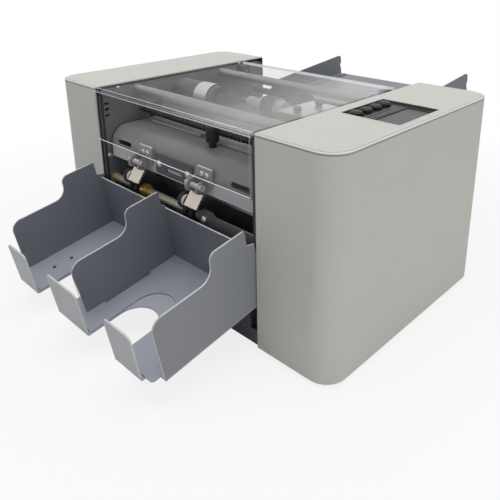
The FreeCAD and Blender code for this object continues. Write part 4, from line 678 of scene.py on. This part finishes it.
def wall_ribbon(x, rear_low, foot):
    """The edge of a stepped wall from its front foot over the step to its rear corner."""
    line = rounded([(-101, foot, 0), (-101, 53, 10), (-42, 53, 12), (-42, 74.5, 7), (-5, 74.5, 1.5),
                    (-5, 60, 1), (rear_low, 57.5, 0)])
    return ribbon(np.array([slope_point(x, depth, height) for depth, height in line]), (1, 0, 0))


def lip_ribbon(low, high):
    """The edge of a lip, up one side, over its rounded corners and down the other."""
    line = rounded([(low, 1, 0), (low, 40, 4), (high, 40, 4), (high, 1, 0)])
    return ribbon(np.array([slope_point(x, LIP_DEPTH, height) for x, height in line]), AXES["tray"][1])


edges = [wall_ribbon(-WALL_MIDDLE, 3, 0), wall_ribbon(WALL_MIDDLE, 3, 0), wall_ribbon(0, -1.5, 3)]
edges += [lip_ribbon(low - LIPS_LEFT, high - LIPS_LEFT) for low, high in LIPS]
plate_line = np.array([slope_point(x, PLATE_DEPTH, PLATE_TOP)
                       for x in np.linspace(-PLATE_HALF, PLATE_HALF, 12)])
edges.append(ribbon(plate_line, AXES["tray"][1]))
piece("tray_edge_highlights", "machine", "tray_paint", highlight_edge_paint, edges)

# %% [markdown]
# ## Wound springs
# Each pinch arm is pressed down by a torsion spring: a coil round the pivot with one straight leg
# behind the knife cover's bracket and one behind the arm's plate. The path is a helix about X with
# a straight run at each end, and a thin ring is carried along it.

# %% Wind the torsion springs
PINCH_CENTRES = {"left": -44, "right": 44}
PIVOT, COIL_RADIUS, WIRE_RADIUS, TURNS = (behind(0), 0.131), 0.0026, 0.00040, 9.25


def spring_path(low, high, turns, radius, at):
    """x runs from low to high while (cos, sin) radius goes round turns times. The first leg comes in
    along a tangent, and the last one turns back along the tangent at which the coil ends."""
    t = np.linspace(0, 1, int(turns * 20))
    a = 2 * math.pi * turns * t
    coil = np.column_stack([low + (high - low) * t, at[0] + radius * np.cos(a),
                            at[1] + radius * np.sin(a)])
    leg_in = np.linspace((low, coil[0][1], coil[0][2] - 0.007), coil[0], 6, endpoint=False)
    leg_out = np.linspace(coil[-1], (high, at[0] + 0.0065, at[1] + radius), 7)[1:]
    return np.concatenate([leg_in, coil, leg_out])


springs = []
for centre in PINCH_CENTRES.values():
    low, high = (centre - 8.2) / 1000, (centre + 1.9) / 1000
    path = spring_path(low, high, TURNS, COIL_RADIUS, PIVOT)
    springs.append(carried(path, WIRE_RADIUS, 8, (1, 0, 0)))
piece("torsion_springs", "machine", "steel", round_steel, springs, "pinch_springs")

# %% [markdown]
# ## Pinch rollers
# A pinch roller is a white moulded hub that carries two black rubber rings. The hub is turned with
# two grooves, and each ring is a torus of square-ish section that sits in one.

# %% Turn the pinch rollers
HUB = [(0, 1.6), (0, 4.6), (0.5, 5.4), (1.3, 5.6), (1.5, 5.2), (5.0, 5.2), (5.2, 5.6), (9.8, 5.6),
       (10.0, 5.2), (13.5, 5.2), (13.7, 5.6), (14.6, 5.4), (15.2, 4.6), (15.2, 1.6), (0, 1.6)]
HUB_TO_CENTRE = 28.5
for side, centre in PINCH_CENTRES.items():
    at = ((centre - HUB_TO_CENTRE) / 1000, behind(4), 0.1104)
    rings = []
    for low in (1.5, 10.0):
        a = ring_angles(24)
        section = np.column_stack([low + 1.75 + 1.7 * np.sign(np.cos(a)) * np.abs(np.cos(a)) ** 0.7,
                                   6.1 + 1.4 * np.sign(np.sin(a)) * np.abs(np.sin(a)) ** 0.7])
        rings.append(turned(np.vstack([section, section[:1]]), 48, at, "x"))
    piece(f"roller_hub_{side}", f"pinch_wheel_{side}", "white_plastic", white_plastic,
          [turned(HUB, 48, at, "x")], f"pinch_roller_{side}")
    piece(f"roller_rings_{side}", f"pinch_wheel_{side}", "rubber", black_rubber, rings)

# %% [markdown]
# ## Conduit and knobs
# The conduit is corrugated tube that hangs a little between the frames: its radius rises and falls
# with the way along it. The thumb screws are four-lobed, so their radius goes with the cosine of four
# times the angle, and the adjusting knob has a fine straight knurl of forty teeth.

# %% Make the conduit
RIBS = 40
s = np.linspace(-1, 1, RIBS * 16)
route = np.column_stack([s * 0.1099, np.full(s.size, behind(52)), 0.1655 - 0.0014 * (1 - s ** 2)])
wave = np.cos(math.pi * (s + 1) * RIBS)
swell = 0.0040 + 0.0008 * np.sign(wave) * np.abs(wave) ** 0.5
conduit_black = moulded("conduit_black", (30, 30, 32), 0.26)
piece("corrugated_conduit", "machine", "black_plastic", conduit_black,
      [carried(route, swell, 20, (0, 0, 1))], "ribbed_conduit")

# %% Make the knobs
def lobes(angle, height):
    """Four lobes above the thumb screw's collar."""
    return np.where(height > 1.9, 0.80 + 0.20 * np.cos(4 * angle), 1.0)


def knurl(angle, height):
    """Forty teeth between the knob's two plain rims."""
    return np.where((height > 5.4) & (height < 19.2), 1 - 0.05 * (0.5 + 0.5 * np.cos(40 * angle)), 1.0)


star = [(-5.5, 0), (-5.5, 2), (0.2, 2), (0.2, 3.4), (1.8, 3.4), (2.0, 4.6), (2.6, 5.4), (4.6, 5.5),
        (5.6, 5.0), (6.0, 4.0), (6.0, 2.2), (5.2, 2.0), (5.2, 0)]
for where, distance in (("front", 141), ("rear", 176)):
    piece(f"star_knob_{where}", f"{where}_thumb", "black_plastic", black_plastic,
          [turned(star, 64, (0.035, behind(distance), 0.168), "z", lobes)], f"thumb_screw_{where}")
knob = [(-2, 0), (-2, 2), (0.3, 2), (0.3, 3.6), (5, 3.6), (5, 5.4), (5.5, 6), (19, 6), (19.6, 5.6),
        (20, 5.0), (20, 2.4), (19.5, 2.0), (19.5, 0)]
piece("knurled_knob", "knob", "black_plastic", button_plastic,
      [turned(knob, 160, (0.021, behind(38), 0.153), "z", knurl)], "adjust_knob")

# %% [markdown]
# ## Trim
# A raised bead runs round the panel's window, where the cover's sheet is pressed up. The brass collar
# is held on the exit shaft by two grub screws.

# %% Make the window's bead and the collar's grub screws
def rounded_loop(x0, x1, y0, y1, corner, height, steps=8):
    """Quarter circles about four corner centres, joined by the straight sides between them."""
    turn = np.linspace(0, math.pi / 2, steps)
    centres = ((x1 - corner, y1 - corner), (x0 + corner, y1 - corner), (x0 + corner, y0 + corner),
               (x1 - corner, y0 + corner))
    arcs = [np.column_stack([cx + corner * np.cos(turn + i * math.pi / 2),
                             cy + corner * np.sin(turn + i * math.pi / 2), np.full(steps, height)])
            for i, (cx, cy) in enumerate(centres)]
    return np.concatenate(arcs)


BEAD = 0.0012
loop = rounded_loop(WINDOW_X[0] - BEAD, WINDOW_X[1] + BEAD, WINDOW_Y[0] - BEAD, WINDOW_Y[1] + BEAD,
                    0.0025, 0)
bead = carried(loop, 0.9 * BEAD, 12, (0, 0, 1), closed=True) * (1, 1, 0.35) + (0, 0, cover_top)
bead_paint = powder_coat("bead_paint", COVER_GREY, 0.45)
piece("window_bead", "machine", "cover_paint", bead_paint, [bead])
GRUB = [(5.0, 0), (5.0, 1.4), (6.7, 1.4), (6.75, 1.2), (6.75, 0.7), (6.2, 0.6), (6.2, 0)]
grubs = []
for turn in (0.5, 2.2):
    direction = np.array([0, -math.cos(turn), math.sin(turn)])
    AXES["grub"] = ((1, 0, 0), tuple(np.cross(direction, (1, 0, 0))), tuple(direction))
    grubs.append(turned(GRUB, 24, (-0.055, behind(12), 0.0955), "grub"))
piece("collar_screws", "exit_spindle", "steel", round_steel, grubs)

# %% [markdown]
# ## Floor, backdrop and light
# A plain pale floor and a white surround are what a catalogue studio has. The floor glows a little to
# the camera so that it comes out nearly white and still keeps the soft shadow. One wide lamp hangs
# overhead, a smaller one stands low on the right and a weak one of the same size at the front, so that
# upright faces differ in tone. The surround is white to the camera and in reflections, and lights the
# object with less than a third of that.

# %% Lay the floor
def flat_sheet(name, half, height):
    """A square of one face: X and Y run from -half to half at one height."""
    mesh = bpy.data.meshes.new(name)
    corners = np.array([(-1, -1), (1, -1), (1, 1), (-1, 1)], float) * half
    mesh.from_pydata(np.column_stack([corners, np.full(4, height)]).tolist(), [], [(0, 1, 2, 3)])
    made = bpy.data.objects.new(name, mesh)
    bpy.context.scene.collection.objects.link(made)
    return made


floor = flat_sheet("floor", 12.0, -0.0002)
floor_white = Finish("floor_white", (238, 238, 238), 0.9)
rays = floor_white.tree.nodes.new("ShaderNodeLightPath")
glow = floor_white.tree.nodes.new("ShaderNodeEmission")
glow.inputs["Strength"].default_value = 1.0
floor_mix = floor_white.tree.nodes.new("ShaderNodeMixShader")
camera_ray = Wire(floor_white, rays.outputs["Is Camera Ray"])
x, y = floor_white.axis("X"), floor_white.axis("Y")
away = floor_white.add("ShaderNodeClamp", {}, (x * x + y * y) * 0.55 + 0.80)
floor_white.join(floor_mix.inputs[0], camera_ray * away)
floor_white.tree.links.new(floor_white.shader.outputs[0], floor_mix.inputs[1])
floor_white.tree.links.new(glow.outputs[0], floor_mix.inputs[2])
floor_white.tree.links.new(floor_mix.outputs[0], floor_white.tree.nodes["Material Output"].inputs[0])
floor.data.materials.append(floor_white.material)

# %% Light the studio
def softbox(name, place_at, look_at, width, height, watts):
    """A rectangular lamp that faces a point."""
    data = bpy.data.lights.new(name, "AREA")
    data.shape, data.size, data.size_y, data.energy = "RECTANGLE", width, height, watts
    lamp = bpy.data.objects.new(name, data)
    bpy.context.scene.collection.objects.link(lamp)
    aim = np.array(look_at, float) - np.array(place_at, float)
    back = -aim / np.linalg.norm(aim)
    side = np.cross((0.0, 0.0, 1.0) if abs(back[2]) < 0.95 else (0.0, 1.0, 0.0), back)
    side /= np.linalg.norm(side)
    over = np.cross(back, side)
    lamp.matrix_world = Matrix([[side[i], over[i], back[i], place_at[i]] for i in range(3)]
                               + [[0, 0, 0, 1]])


MIDDLE = (0, 0, 0.1)
softbox("overhead", (0.15, -0.1, 1.6), MIDDLE, 1.6, 1.6, 16)
softbox("low_right", (1.5, -0.3, 0.55), MIDDLE, 1.2, 0.9, 2.8)
softbox("front", (-0.5, -1.7, 0.8), MIDDLE, 1.2, 0.9, 0.6)

world = bpy.data.worlds.new("studio")
bpy.context.scene.world = world
world.use_nodes = True
tree = world.node_tree
sky = tree.nodes["Background"]
sky.inputs["Color"].default_value = (1, 1, 1, 1)
sky.inputs["Strength"].default_value = 0.30
surround = tree.nodes.new("ShaderNodeBackground")
surround.inputs["Color"].default_value = (1, 1, 1, 1)
rays = tree.nodes.new("ShaderNodeLightPath")
direct = tree.nodes.new("ShaderNodeMath")
direct.operation, direct.use_clamp = "ADD", True
shows_white = tree.nodes.new("ShaderNodeMath")
shows_white.operation, shows_white.use_clamp = "ADD", True
tree.links.new(rays.outputs["Is Camera Ray"], direct.inputs[0])
tree.links.new(rays.outputs["Is Glossy Ray"], direct.inputs[1])
tree.links.new(direct.outputs[0], shows_white.inputs[0])
tree.links.new(rays.outputs["Is Transmission Ray"], shows_white.inputs[1])
choose = tree.nodes.new("ShaderNodeMixShader")
tree.links.new(shows_white.outputs[0], choose.inputs[0])
tree.links.new(sky.outputs[0], choose.inputs[1])
tree.links.new(surround.outputs[0], choose.inputs[2])
tree.links.new(choose.outputs[0], tree.nodes["World Output"].inputs[0])
bpy.context.scene.view_settings.view_transform = "Standard"
